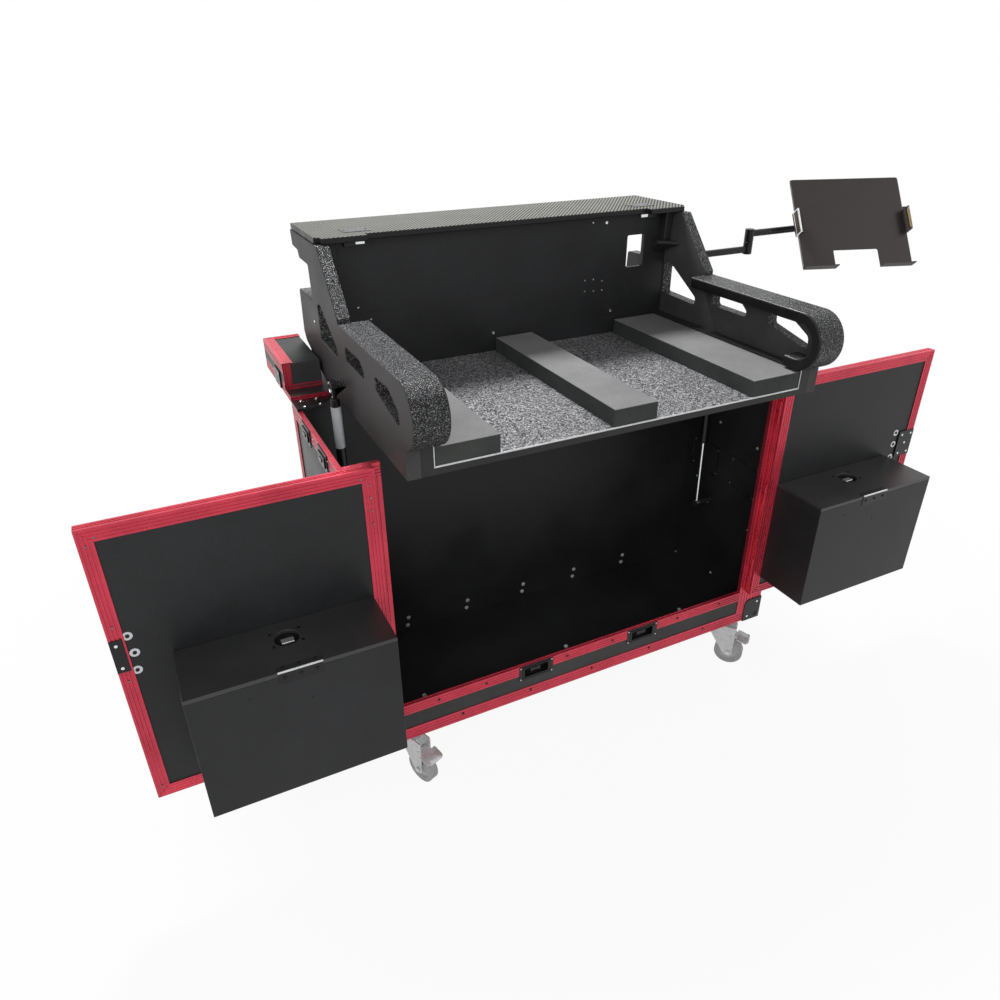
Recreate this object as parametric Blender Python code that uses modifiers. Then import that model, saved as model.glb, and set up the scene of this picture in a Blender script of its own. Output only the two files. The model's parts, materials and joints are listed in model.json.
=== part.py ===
import math

import bmesh
import bpy
from mathutils import Vector

# Hydraulic mixer flight case, in metres, +Z up, with the open front facing -Y.
# The case is drawn from the centre of its floor board's underside. At the end
# its stand moves so that the origin is on the ground under the middle.

gap = 0.0003

# Cabinet.
case_half_width = 0.612
case_half_depth = 0.200
case_height = 0.7717
floor_thickness = 0.015
board = 0.009

# Red aluminium edge rails.
rail_wall = 0.002
rail_face = 0.030
rail_lip = 0.0115
base_rail_height = 0.0324
post_width = 0.088
post_return = 0.012
sill_top = 0.109

# Butterfly latches in the sill.
latch_x = {"left": -0.156, "right": 0.179}
latch_width = 0.100
latch_height = 0.047
latch_depth = 0.016
latch_rim = 0.008
latch_wall = 0.002
wing_reach = 0.0150
wing_half_height = 0.007
wing_thickness = 0.003
wing_post = 0.006

# Front doors, modelled from their hinge pins.
hinge_inset = 0.0715
door_thickness = 0.022
door_frame_face = 0.028
door_clearance = 0.0005
door_sill_gap = 0.0009
door_centre_gap = 0.001
hinge_edge_gap = 0.0025
knuckle_radius = 0.0021
knuckle_length = 0.030
knuckle_leaf = 0.0016
knuckle_margin = 0.060

# Storage boxes on the doors.
storage_width = 0.4065
storage_depth = 0.1537
storage_height = 0.3057
storage_raise = 0.0543
storage_wall = 0.009
storage_clearance = 0.0005
lid_thickness = 0.009
lid_back_gap = 0.001
finger_hole_radius = 0.025
finger_hole_from_hinge = 0.2295
finger_hole_from_front = 0.0992

# Castors.
castor_side_inset = 0.112
castor_end_inset = 0.045
castor_plate = 0.065
castor_plate_thickness = 0.004
bearing_radius = 0.027
bearing_height = 0.014
crown_radius = 0.030
crown_thickness = 0.012
wheel_headroom = 0.0394
wheel_radius = 0.042
wheel_width = 0.026
wheel_bore_clearance = 0.0005
castor_trail = 0.045
axle_radius = 0.005
leg_gap = 0.0015
leg_thickness = 0.003
leg_lobe = 0.012
pedal_thickness = 0.003
pedal_pin_radius = 0.002
pedal_pin_trail = 0.048
pedal_rise = 0.020
pedal_neck_end = 0.064
pedal_end = 0.100
pedal_half_width = 0.026
castor_turn = {"left_front": 22, "right_front": 40, "left_rear": 35, "right_rear": 64}

# Flip-up tray, modelled from its pivot.
pivot_inset = 0.028
pivot_rise = 0.0237
tray_front = 0.5025
tray_back = 0.090
tray_drop = 0.0104
tray_floor = 0.018
tray_side_inset = 0.157
tray_side_board = 0.0275
panel_thickness = 0.0297
back_panel_thickness = 0.012
pad_height = 0.0394
pad_length = 0.569
pad_side_width = 0.137
pad_side_gap = 0.001
pad_centre_width = 0.1084

# Side panels and armrests.
arm_centre_y = 0.490
arm_radius = 0.067
arm_top = 0.185
arm_rear = 0.099
armrest_width = 0.044
armrest_thickness = 0.027
armrest_hook = 0.032
slope_step = 0.010
slope_top_y = 0.018
panel_rear = 0.277
panel_heel_y = 0.068
panel_heel_drop = 0.006

# Doghouse lid and back panel window.
doghouse_height = 0.3417
doghouse_thickness = 0.014
doghouse_depth = 0.250
doghouse_side_inset = 0.0029
doghouse_tab = 0.020
doghouse_tab_inset = 0.0131
doghouse_tab_width = 0.1065
window_inset = 0.102
window_width = 0.055
window_z = 0.185
window_height = 0.085

# Pivot brackets.
bracket_side_gap = 0.0035
bracket_thickness = 0.006
bracket_foot = 0.005
bracket_front = 0.032
bracket_back = 0.027
bracket_half_width = 0.020
bracket_rise = 0.027
pivot_radius = 0.010
pivot_depth = 0.019
pivot_clearance = 0.0005
pivot_shoulder = 0.015
pivot_lobe = 0.015

# Gas springs.
spring_side_gap = 0.0275
spring_foot_set = 0.120
spring_foot_z = 0.2854
spring_head_y = -0.110
spring_head_z = 0.055
spring_tube_radius = 0.011
spring_tube_length = 0.330
spring_rod_radius = 0.005
spring_rod_engaged = 0.080
spring_bore_clearance = 0.0006
spring_bore_end = 0.012
spring_eye_radius = 0.010
spring_eye_width = 0.012
spring_neck = 0.032
spring_stud_radius = 0.008
spring_pin_radius = 0.0035

# Rear cover, folded back level.
cover_depth = 0.288
cover_block_set = 0.055
cover_thickness = 0.0114
cover_clearance = 0.002
cover_block_height = 0.0787
cover_block_width = 0.092
cover_leaf_width = 0.060
cover_leaf_reach = 0.008
cover_leaf_thickness = 0.0015
cover_leaf_inset = 0.262

# Tablet holder.
holder_side_gap = 0.0275
holder_y = 0.103
holder_z = 0.189
holder_plate = 0.006
holder_plate_low = 0.017
holder_plate_high = 0.073
holder_plate_front = 0.025
holder_plate_back = 0.010
holder_lug = 0.006
holder_lug_reach = 0.011
arm_pin_radius = 0.005
arm_pin_clearance = 0.0005
arm_sleeve_radius = 0.011
arm_sleeve_half = 0.010
arm_rod_radius = 0.006
lower_arm_length = 0.270
upper_arm_length = 0.340
upper_arm_rise = 0.045
arm_collar_radius = 0.008
head_hub_half = 0.008
head_turn = -18.2
head_reach = 0.0436
head_rise = 0.0335
barrel_radius = 0.009
barrel_length = 0.024
tilt_pin_radius = 0.004
tablet_tilt = -37.5
tablet_width = 0.350
tablet_height = 0.289
tablet_thickness = 0.004
tablet_shift = 0.004
tablet_drop = 0.042
tablet_standoff = 0.028
notch_left = 0.1033
notch_width = 0.1442
notch_height = 0.058
lip_depth = 0.022
lip_thickness = 0.003
lip_set = 0.0005
clip_height = 0.074
clip_depth = 0.026
clip_wall = 0.006
clip_return = 0.011
clip_bite = 0.001
clip_lip = 0.004
lug_thickness = 0.006

# Places that follow from the sizes above.
inset = rail_wall + gap
board_x = case_half_width - inset
board_y = case_half_depth - inset
wall_foot = floor_thickness + gap
wall_head = case_height - inset
post_inner = case_half_width - post_width
post_foot = base_rail_height + gap
post_head = case_height - rail_face - gap
hinge_x = case_half_width - hinge_inset
door_width = hinge_x - hinge_edge_gap - door_centre_gap
hinge_y = -(case_half_depth + door_clearance + door_thickness / 2)
door_foot = sill_top + door_sill_gap
door_face = door_thickness / 2 - inset
storage_edge = hinge_edge_gap + door_frame_face + storage_clearance
storage_back = door_face + gap
storage_front = door_thickness / 2 + storage_depth
storage_foot = door_foot + storage_raise
storage_top = storage_foot + storage_height
castor_x = case_half_width - castor_side_inset
castor_y = case_half_depth - castor_end_inset
pivot_y = case_half_depth - pivot_inset
pivot_z = case_height + pivot_rise
tray_half_inside = case_half_width - tray_side_inset
tray_half_width = tray_half_inside + tray_side_board
panel_inner = tray_half_width + gap
panel_outer = panel_inner + panel_thickness
spring_x = panel_outer + spring_side_gap
spring_foot_y = pivot_y - spring_foot_set
holder_x = panel_outer + holder_side_gap
doghouse_half_width = panel_outer - doghouse_side_inset
doghouse_tab_outer = doghouse_half_width - doghouse_tab_inset
doghouse_tab_inner = doghouse_tab_outer - doghouse_tab_width
window_x = tray_half_inside - window_inset
cover_leaf_x = (cover_leaf_inset - case_half_width, 0, case_half_width - cover_leaf_inset)
tray_top = tray_floor - tray_drop
arm_bottom_z = arm_top - 2 * arm_radius
arm_centre_z = arm_top - arm_radius
panel_head = doghouse_height - doghouse_thickness - gap
side_board_top = arm_bottom_z - gap
back_panel_y = tray_back - back_panel_thickness
bracket_x = panel_outer + bracket_side_gap
crown_top = -(gap + castor_plate_thickness + bearing_height + gap)
crown_bottom = crown_top - crown_thickness
wheel_z = crown_bottom - wheel_headroom - wheel_radius
leg_inner = wheel_width / 2 + leg_gap
leg_outer = leg_inner + leg_thickness

# Colour, roughness and metallic value of each finish.
looks = {
    "laminate": ((0.022, 0.022, 0.024, 1), 0.42, 0.0),
    "red_anodised": ((0.50, 0.035, 0.065, 1), 0.32, 0.6),
    "grey_panel": ((0.045, 0.045, 0.048, 1), 0.55, 0.0),
    "rough_paint": ((0.035, 0.035, 0.037, 1), 0.75, 0.0),
    "tread_black": ((0.030, 0.030, 0.032, 1), 0.50, 0.1),
    "foam": ((0.135, 0.130, 0.130, 1), 0.90, 0.0),
    "zinc": ((0.62, 0.63, 0.65, 1), 0.28, 1.0),
    "wheel_grey": ((0.36, 0.36, 0.37, 1), 0.60, 0.0),
    "black_steel": ((0.016, 0.016, 0.017, 1), 0.35, 0.7),
    "black_plastic": ((0.018, 0.018, 0.019, 1), 0.45, 0.0),
    "rod_steel": ((0.55, 0.56, 0.58, 1), 0.18, 1.0),
}

for old in list(bpy.data.objects):
    bpy.data.objects.remove(old, do_unlink=True)

parts = bpy.data.collections.new("hydraulic_mixer_flight_case")
cutters = bpy.data.collections.new("cutters")
bpy.context.scene.collection.children.link(parts)
bpy.context.scene.collection.children.link(cutters)
stand = bpy.data.objects.new("stand", None)
parts.objects.link(stand)


def finish(solid, look):
    color, roughness, metallic = looks[look]
    material = bpy.data.materials.new(solid.name + "_" + look)
    material.use_nodes = True
    surface = material.node_tree.nodes["Principled BSDF"]
    surface.inputs["Base Color"].default_value = color
    surface.inputs["Roughness"].default_value = roughness
    surface.inputs["Metallic"].default_value = metallic
    material.diffuse_color = color
    solid.data.materials.clear()
    solid.data.materials.append(material)


def put(name, data, place, turn, frame, look):
    solid = bpy.data.objects.new(name, data)
    solid.location = place
    solid.rotation_euler = turn
    solid.parent = frame or stand
    if look is None:
        cutters.objects.link(solid)
        solid.hide_render = True
        solid.display_type = "WIRE"
    else:
        parts.objects.link(solid)
        finish(solid, look)
    return solid


def pivot(name, place, turn=(0, 0, 0), frame=None):
    empty = bpy.data.objects.new(name, None)
    empty.empty_display_size = 0.04
    empty.location = place
    empty.rotation_euler = turn
    empty.parent = frame or stand
    parts.objects.link(empty)
    return empty


def box(name, low, high, look=None, frame=None):
    shape = bmesh.new()
    bmesh.ops.create_cube(shape, size=1)
    size = [abs(b - a) for a, b in zip(low, high)]
    bmesh.ops.scale(shape, vec=size, verts=shape.verts)
    mesh = bpy.data.meshes.new(name)
    shape.to_mesh(mesh)
    shape.free()
    centre = [(a + b) / 2 for a, b in zip(low, high)]
    return put(name, mesh, centre, (0, 0, 0), frame, look)


# A round bar between two points.
def bar(name, start, end, radius, look=None, frame=None, sides=24):
    start = Vector(start)
    end = Vector(end)
    shape = bmesh.new()
    length = (end - start).length
    bmesh.ops.create_cone(
        shape, cap_ends=True, segments=sides, radius1=radius, radius2=radius, depth=length
    )
    mesh = bpy.data.meshes.new(name)
    shape.to_mesh(mesh)
    shape.free()
    mesh.shade_smooth()
    mesh.set_sharp_from_angle(angle=math.radians(40))
    turn = Vector((0, 0, 1)).rotation_difference(end - start).to_euler()
    return put(name, mesh, (start + end) / 2, turn, frame, look)


# Corners written as (a, b, radius) become arcs.
def rounded(corners, steps=5):
    points = []
    for index, corner in enumerate(corners):
        here = Vector(corner[:2])
        if len(corner) == 2:
            points.append(here)
            continue
        to_last = (Vector(corners[index - 1][:2]) - here).normalized()
        to_next = (Vector(corners[(index + 1) % len(corners)][:2]) - here).normalized()
        half = to_last.angle(to_next) / 2
        centre = here + (to_last + to_next).normalized() * corner[2] / math.sin(half)
        first = here + to_last * corner[2] / math.tan(half) - centre
        last = here + to_next * corner[2] / math.tan(half) - centre
        sweep = first.angle_signed(last)
        for step in range(steps + 1):
            angle = -sweep * step / steps
            turned = Vector((
                first.x * math.cos(angle) - first.y * math.sin(angle),
                first.x * math.sin(angle) + first.y * math.cos(angle),
            ))
            points.append(centre + turned)
    return points


def arc(centre, radius, start, end, steps):
    points = []
    for step in range(steps + 1):
        angle = math.radians(start + (end - start) * step / steps)
        points.append((centre[0] + radius * math.cos(angle), centre[1] + radius * math.sin(angle)))
    return points


# A flat outline with its openings, given a thickness. Axis is the direction
# that the thickness runs in: an X outline is drawn in (y, z), a Y outline in
# (x, z) and a Z outline in (x, y).
def outline(name, loops, low, high, axis, look=None, frame=None):
    curve = bpy.data.curves.new(name + "_curve", "CURVE")
    curve.dimensions = "2D"
    curve.fill_mode = "BOTH"
    curve.extrude = abs(high - low) / 2
    for loop in loops:
        spline = curve.splines.new("POLY")
        spline.points.add(len(loop) - 1)
        for point, corner in zip(spline.points, loop):
            point.co = (corner[0], corner[1], 0, 1)
        spline.use_cyclic_u = True
    middle = (low + high) / 2
    place = {"X": (middle, 0, 0), "Y": (0, middle, 0), "Z": (0, 0, middle)}[axis]
    quarter = math.pi / 2
    turn = {"X": (quarter, 0, quarter), "Y": (quarter, 0, 0), "Z": (0, 0, 0)}[axis]
    drawn = bpy.data.objects.new(name + "_curve", curve)
    drawn.location = place
    drawn.rotation_euler = turn
    drawn.parent = frame or stand
    cutters.objects.link(drawn)
    bpy.context.view_layer.update()
    seen = drawn.evaluated_get(bpy.context.evaluated_depsgraph_get())
    mesh = bpy.data.meshes.new_from_object(seen)
    mesh.name = name
    shape = bmesh.new()
    shape.from_mesh(mesh)
    bmesh.ops.remove_doubles(shape, verts=shape.verts, dist=0.00001)
    shape.to_mesh(mesh)
    shape.free()
    matrix = drawn.matrix_world.copy()
    bpy.data.objects.remove(drawn, do_unlink=True)
    solid = put(name, mesh, (0, 0, 0), (0, 0, 0), frame, look)
    bpy.context.view_layer.update()
    solid.matrix_world = matrix
    return solid


# A closed or axis-touching profile of (radius, height) turned about local Z.
def turned(name, profile, closed, look, frame, place, turn=(0, 0, 0), steps=32):
    mesh = bpy.data.meshes.new(name)
    shape = bmesh.new()
    corners = [shape.verts.new((radius, 0, height)) for radius, height in profile]
    for first, second in zip(corners, corners[1:]):
        shape.edges.new((first, second))
    if closed:
        shape.edges.new((corners[-1], corners[0]))
    shape.to_mesh(mesh)
    shape.free()
    solid = put(name, mesh, place, turn, frame, look)
    screw = solid.modifiers.new("turn", "SCREW")
    screw.angle = math.tau
    screw.steps = steps
    screw.render_steps = steps
    screw.use_merge_vertices = True
    screw.merge_threshold = 0.00001
    screw.use_smooth_shade = False
    return solid


def combine(solid, tools, operation):
    for tool in tools:
        step = solid.modifiers.new(tool.name, "BOOLEAN")
        step.operation = operation
        step.solver = "EXACT"
        step.object = tool
    return solid


def join(solid, *tools):
    return combine(solid, tools, "UNION")


def cut(solid, *tools):
    return combine(solid, tools, "DIFFERENCE")


sides = {"left": -1, "right": 1}
reach = 0.02


# Cabinet boards.
box("base_floor", (-board_x, -board_y, 0), (board_x, board_y, floor_thickness), "laminate")
box(
    "back_wall",
    (-board_x + board + gap, board_y - board, wall_foot),
    (board_x - board - gap, board_y, wall_head),
    "laminate",
)
for hand, side in sides.items():
    wall = box(
        hand + "_wall",
        (side * (board_x - board), -board_y, wall_foot),
        (side * board_x, board_y, wall_head),
        "laminate",
    )
    stud_end = spring_x + spring_eye_width / 2 + gap
    stud = bar(
        hand + "_wall_stud",
        (side * (board_x - board / 2), spring_foot_y, spring_foot_z),
        (side * stud_end, spring_foot_y, spring_foot_z),
        spring_stud_radius,
    )
    pin = bar(
        hand + "_wall_pin",
        (side * (stud_end + reach), spring_foot_y, spring_foot_z),
        (side * (stud_end - spring_eye_width), spring_foot_y, spring_foot_z),
        spring_pin_radius,
        sides=16,
    )
    join(wall, stud, pin)

# Base rail: a ring with a lip under the floor.
base_frame = box(
    "base_frame",
    (-case_half_width, -case_half_depth, -inset),
    (case_half_width, case_half_depth, base_rail_height),
    "red_anodised",
)
base_room = box(
    "base_frame_room",
    (-case_half_width + rail_wall, -case_half_depth + rail_wall, -gap),
    (case_half_width - rail_wall, case_half_depth - rail_wall, base_rail_height + reach),
)
base_window = box(
    "base_frame_window",
    (-case_half_width + rail_lip, -case_half_depth + rail_lip, -reach),
    (case_half_width - rail_lip, case_half_depth - rail_lip, reach),
)
cut(base_frame, base_room, base_window)

# Top rail: round three sides, with a tab over each front post.
top_frame = box(
    "top_frame",
    (-case_half_width, -case_half_depth, case_height - rail_face),
    (case_half_width, case_half_depth, case_height),
    "red_anodised",
)
top_room = box(
    "top_frame_room",
    (-case_half_width + rail_wall, -case_half_depth + rail_wall, case_height - rail_face - reach),
    (case_half_width - rail_wall, case_half_depth - rail_wall, case_height - rail_wall),
)
top_window = box(
    "top_frame_window",
    (-case_half_width + rail_lip, -case_half_depth + rail_lip, case_height - reach),
    (case_half_width - rail_lip, case_half_depth - rail_lip, case_height + reach),
)
top_front = box(
    "top_frame_front",
    (-post_inner, -case_half_depth - reach, case_height - rail_face - reach),
    (post_inner, -case_half_depth + reach, case_height + reach),
)
cut(top_frame, top_room, top_window, top_front)

# Corner posts, with the doors' fixed hinge knuckles on the front ones.
hinge_span = case_height - door_foot - 2 * knuckle_margin - 2 * knuckle_length - gap
knuckle_feet = [door_foot + knuckle_margin + hinge_span * share for share in (0, 0.5, 1)]
for hand, side in sides.items():
    face = -case_half_depth
    front_post = outline(
        hand + "_front_post",
        [[
            (side * post_inner, face),
            (side * case_half_width, face),
            (side * case_half_width, face + rail_face),
            (side * (case_half_width - rail_wall), face + rail_face),
            (side * (case_half_width - rail_wall), face + rail_wall),
            (side * post_inner, face + rail_wall),
        ]],
        post_foot,
        post_head,
        "Z",
        "red_anodised",
    )
    jamb = box(
        hand + "_front_post_jamb",
        (side * post_inner, face, sill_top + gap),
        (side * (post_inner + rail_wall), face + post_return, post_head),
    )
    join(front_post, jamb)
    for number, foot in enumerate(knuckle_feet):
        leaf = box(
            hand + "_post_leaf_" + str(number),
            (side * hinge_x - knuckle_leaf / 2, hinge_y, foot),
            (side * hinge_x + knuckle_leaf / 2, face + rail_wall / 2, foot + knuckle_length),
        )
        knuckle = bar(
            hand + "_post_knuckle_" + str(number),
            (side * hinge_x, hinge_y, foot),
            (side * hinge_x, hinge_y, foot + knuckle_length),
            knuckle_radius,
            sides=12,
        )
        join(front_post, leaf, knuckle)
    outline(
        hand + "_rear_post",
        [[
            (side * case_half_width, -face),
            (side * case_half_width, -face - rail_face),
            (side * (case_half_width - rail_wall), -face - rail_face),
            (side * (case_half_width - rail_wall), -face - rail_wall),
            (side * (case_half_width - rail_face), -face - rail_wall),
            (side * (case_half_width - rail_face), -face),
        ]],
        post_foot,
        post_head,
        "Z",
        "red_anodised",
    )

# Sill board and rail under the doors, with a recessed latch in each half.
sill_board = box(
    "sill_board",
    (-board_x + board + gap, -board_y, wall_foot),
    (board_x - board - gap, -board_y + board, sill_top - inset),
    "laminate",
)
sill_rail = box(
    "sill_rail",
    (-post_inner + gap, -case_half_depth, sill_top - rail_face),
    (post_inner - gap, -case_half_depth + post_return, sill_top),
    "red_anodised",
)
sill_room = box(
    "sill_rail_room",
    (-post_inner - reach, -case_half_depth + rail_wall, sill_top - rail_face - reach),
    (post_inner + reach, -case_half_depth + reach, sill_top - rail_wall),
)
cut(sill_rail, sill_room)
latch_top = sill_top - inset
latch_foot = latch_top - latch_height
for hand in sides:
    middle = latch_x[hand]
    half = latch_width / 2
    body = half - latch_rim
    rail_notch = box(
        hand + "_latch_rail_notch",
        (middle - half - gap, -case_half_depth - reach, latch_foot - reach),
        (middle + half + gap, -case_half_depth + reach, latch_top + gap),
    )
    cut(sill_rail, rail_notch)
    board_notch = box(
        hand + "_latch_board_notch",
        (middle - body - gap, -case_half_depth - reach, latch_foot + latch_rim / 2 - gap),
        (middle + body + gap, -case_half_depth + 2 * reach, latch_top + reach),
    )
    cut(sill_board, board_notch)
    latch = box(
        "sill_latch_" + hand,
        (middle - half, -case_half_depth, latch_foot),
        (middle + half, -case_half_depth + rail_wall, latch_top),
        "black_steel",
    )
    tub = box(
        hand + "_latch_tub",
        (middle - body, -case_half_depth, latch_foot + latch_rim / 2),
        (middle + body, -case_half_depth + latch_depth, latch_top),
    )
    pocket_foot = latch_foot + latch_rim / 2 + latch_wall
    pocket_top = latch_top - latch_rim / 2
    pocket_back = -case_half_depth + latch_depth - latch_wall
    pocket = box(
        hand + "_latch_pocket",
        (middle - body + latch_wall, -case_half_depth - reach, pocket_foot),
        (middle + body - latch_wall, pocket_back, pocket_top),
    )
    wing_z = (pocket_foot + pocket_top) / 2
    wing_back = pocket_back - wing_post
    post = bar(
        hand + "_latch_post",
        (middle, pocket_back + latch_wall / 2, wing_z),
        (middle, wing_back + gap, wing_z),
        wing_half_height * 0.8,
    )
    join(latch, tub)
    cut(latch, pocket)
    join(latch, post)
    wing_frame = pivot("sill_wing_axis_" + hand, (middle, wing_back, wing_z))
    outline(
        "sill_wing_" + hand,
        [rounded([
            (-wing_reach, -wing_half_height, 0.004),
            (0, -wing_half_height * 0.6),
            (wing_reach, -wing_half_height, 0.004),
            (wing_reach, wing_half_height, 0.004),
            (0, wing_half_height * 0.6),
            (-wing_reach, wing_half_height, 0.004),
        ], 3)],
        -wing_thickness,
        0,
        "Y",
        "zinc",
        wing_frame,
    )


# Doors with their storage boxes, each built from its hinge pin.
for hand, side in sides.items():
    hinge = pivot(hand + "_door_hinge", (side * hinge_x, hinge_y, 0))
    near = hinge_edge_gap
    far = hinge_edge_gap + door_width
    half = door_thickness / 2
    frame_solid = outline(
        hand + "_door_frame",
        [
            [
                (side * near, door_foot),
                (side * far, door_foot),
                (side * far, case_height),
                (side * near, case_height),
            ],
            [
                (side * (near + door_frame_face), door_foot + door_frame_face),
                (side * (far - door_frame_face), door_foot + door_frame_face),
                (side * (far - door_frame_face), case_height - door_frame_face),
                (side * (near + door_frame_face), case_height - door_frame_face),
            ],
        ],
        -half,
        half,
        "Y",
        "red_anodised",
        hinge,
    )
    channel = box(
        hand + "_door_channel",
        (side * (near + rail_wall), -half + rail_wall, door_foot + rail_wall),
        (side * (far - rail_wall), half - rail_wall, case_height - rail_wall),
        frame=hinge,
    )
    cut(frame_solid, channel)
    for number, foot in enumerate(knuckle_feet):
        base = foot + knuckle_length + gap
        leaf = box(
            hand + "_door_leaf_" + str(number),
            (0, -knuckle_leaf / 2, base),
            (side * (near + rail_wall / 2), knuckle_leaf / 2, base + knuckle_length),
            frame=hinge,
        )
        knuckle = bar(
            hand + "_door_knuckle_" + str(number),
            (0, 0, base),
            (0, 0, base + knuckle_length),
            knuckle_radius,
            frame=hinge,
            sides=12,
        )
        join(frame_solid, leaf, knuckle)
    box(
        hand + "_door_panel",
        (side * (near + inset), -door_face, door_foot + inset),
        (side * (far - inset), door_face, case_height - inset),
        "laminate",
        hinge,
    )
    outer = storage_edge + storage_width
    storage = box(
        hand + "_storage_box",
        (side * storage_edge, -storage_back, storage_foot),
        (side * outer, -storage_front, storage_top - lid_thickness - gap),
        "laminate",
        hinge,
    )
    storage_room = box(
        hand + "_storage_room",
        (side * (storage_edge + storage_wall), -storage_back - storage_wall,
         storage_foot + storage_wall),
        (side * (outer - storage_wall), -storage_front + storage_wall, storage_top + reach),
        frame=hinge,
    )
    cut(storage, storage_room)
    lid_hinge = pivot(hand + "_box_lid_hinge", (0, -storage_front, storage_top), frame=hinge)
    lid = box(
        hand + "_box_lid",
        (side * storage_edge, 0, -lid_thickness),
        (side * outer, storage_front - door_face - lid_back_gap, 0),
        "laminate",
        lid_hinge,
    )
    hole = bar(
        hand + "_box_lid_hole",
        (side * finger_hole_from_hinge, finger_hole_from_front, -lid_thickness - reach),
        (side * finger_hole_from_hinge, finger_hole_from_front, reach),
        finger_hole_radius,
        frame=lid_hinge,
        sides=32,
    )
    cut(lid, hole)

# Castors: plate on the floor, fork turning under it, wheel on its axle.
for corner, turn in castor_turn.items():
    side = -1 if corner.startswith("left") else 1
    end = -1 if corner.endswith("front") else 1
    x = side * castor_x
    y = end * castor_y
    half = castor_plate / 2
    plate = box(
        "caster_plate_" + corner,
        (x - half, y - half, -gap - castor_plate_thickness),
        (x + half, y + half, -gap),
        "zinc",
    )
    bearing = bar(
        corner + "_bearing",
        (x, y, -gap - castor_plate_thickness / 2),
        (x, y, crown_top + gap),
        bearing_radius,
        sides=32,
    )
    join(plate, bearing)
    swivel = pivot("caster_swivel_" + corner, (x, y, 0), (0, 0, math.radians(turn - 90)))
    fork = bar(
        "caster_fork_" + corner,
        (0, 0, crown_bottom),
        (0, 0, crown_top),
        crown_radius,
        "zinc",
        swivel,
        sides=32,
    )
    lobe_low = wheel_z - leg_lobe
    lobe_back = castor_trail + leg_lobe
    for flank in (-1, 1):
        leg = outline(
            corner + "_leg_" + str(flank),
            [rounded([
                (-crown_radius * 0.75, crown_top),
                (lobe_back + 0.002, crown_top, 0.003),
                (lobe_back, lobe_low, leg_lobe * 0.9),
                (castor_trail - leg_lobe, lobe_low, leg_lobe * 0.9),
                (-crown_radius * 0.75, crown_bottom - 0.004),
            ])],
            flank * leg_inner,
            flank * leg_outer,
            "Y",
            frame=swivel,
        )
        join(fork, leg)
    axle = bar(
        corner + "_axle",
        (castor_trail, -leg_outer - 0.002, wheel_z),
        (castor_trail, leg_outer + 0.002, wheel_z),
        axle_radius,
        frame=swivel,
        sides=16,
    )
    join(fork, axle)
    spin = pivot("caster_axle_" + corner, (castor_trail, 0, wheel_z), frame=swivel)
    bore = axle_radius + wheel_bore_clearance
    half = wheel_width / 2
    turned(
        "caster_wheel_" + corner,
        [
            (bore, half),
            (bore + 0.010, half),
            (bore + 0.011, half * 0.55),
            (wheel_radius - 0.017, half * 0.55),
            (wheel_radius - 0.015, half * 0.92),
            (wheel_radius - 0.004, half * 0.92),
            (wheel_radius, half * 0.55),
            (wheel_radius, -half * 0.55),
            (wheel_radius - 0.004, -half * 0.92),
            (wheel_radius - 0.015, -half * 0.92),
            (wheel_radius - 0.017, -half * 0.55),
            (bore + 0.011, -half * 0.55),
            (bore + 0.010, -half),
            (bore, -half),
        ],
        True,
        "wheel_grey",
        spin,
        (0, 0, 0),
        (math.pi / 2, 0, 0),
    )
    if end > 0:
        continue
    pedal_z = wheel_z + wheel_radius + pedal_rise
    pin_hole = bar(
        corner + "_pedal_hole",
        (pedal_pin_trail, -leg_outer - reach, pedal_z),
        (pedal_pin_trail, leg_outer + reach, pedal_z),
        pedal_pin_radius + wheel_bore_clearance,
        frame=swivel,
        sides=12,
    )
    cut(fork, pin_hole)
    press = pivot("brake_axis_" + corner, (pedal_pin_trail, 0, pedal_z), frame=swivel)
    neck = leg_inner - wheel_bore_clearance
    tread = outline(
        "brake_pedal_" + corner,
        [rounded([
            (-0.008, -neck, 0.003),
            (pedal_neck_end - pedal_pin_trail, -neck),
            (pedal_neck_end - pedal_pin_trail, -pedal_half_width, 0.003),
            (pedal_end - pedal_pin_trail, -pedal_half_width, 0.012),
            (pedal_end - pedal_pin_trail, pedal_half_width, 0.012),
            (pedal_neck_end - pedal_pin_trail, pedal_half_width, 0.003),
            (pedal_neck_end - pedal_pin_trail, neck),
            (-0.008, neck, 0.003),
        ], 4)],
        -pedal_thickness / 2,
        pedal_thickness / 2,
        "Z",
        "zinc",
        press,
    )
    pedal_pin = bar(
        corner + "_pedal_pin",
        (0, -leg_outer - 0.001, 0),
        (0, leg_outer + 0.001, 0),
        pedal_pin_radius,
        frame=press,
        sides=12,
    )
    join(tread, pedal_pin)

# Flip-up tray, all from its pivot axis.
flip = pivot("tray_pivot", (0, pivot_y, pivot_z))
outline(
    "tray",
    [[
        (-tray_half_width, -tray_drop),
        (tray_half_width, -tray_drop),
        (tray_half_width, side_board_top),
        (tray_half_inside, side_board_top),
        (tray_half_inside, tray_top),
        (-tray_half_inside, tray_top),
        (-tray_half_inside, side_board_top),
        (-tray_half_width, side_board_top),
    ]],
    -tray_front,
    tray_back,
    "Y",
    "rough_paint",
    flip,
)
shoulder_z = side_board_top + gap
outline(
    "back_panel",
    [
        [
            (-tray_half_inside + gap, tray_top + gap),
            (tray_half_inside - gap, tray_top + gap),
            (tray_half_inside - gap, shoulder_z),
            (tray_half_width, shoulder_z),
            (tray_half_width, panel_head),
            (-tray_half_width, panel_head),
            (-tray_half_width, shoulder_z),
            (-tray_half_inside + gap, shoulder_z),
        ],
        rounded([
            (window_x, window_z, 0.004),
            (window_x + window_width, window_z, 0.004),
            (window_x + window_width, window_z + window_height, 0.004),
            (window_x, window_z + window_height, 0.004),
        ], 3),
    ],
    back_panel_y,
    tray_back,
    "Y",
    "laminate",
    flip,
)
pad_foot = tray_top + gap
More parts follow.
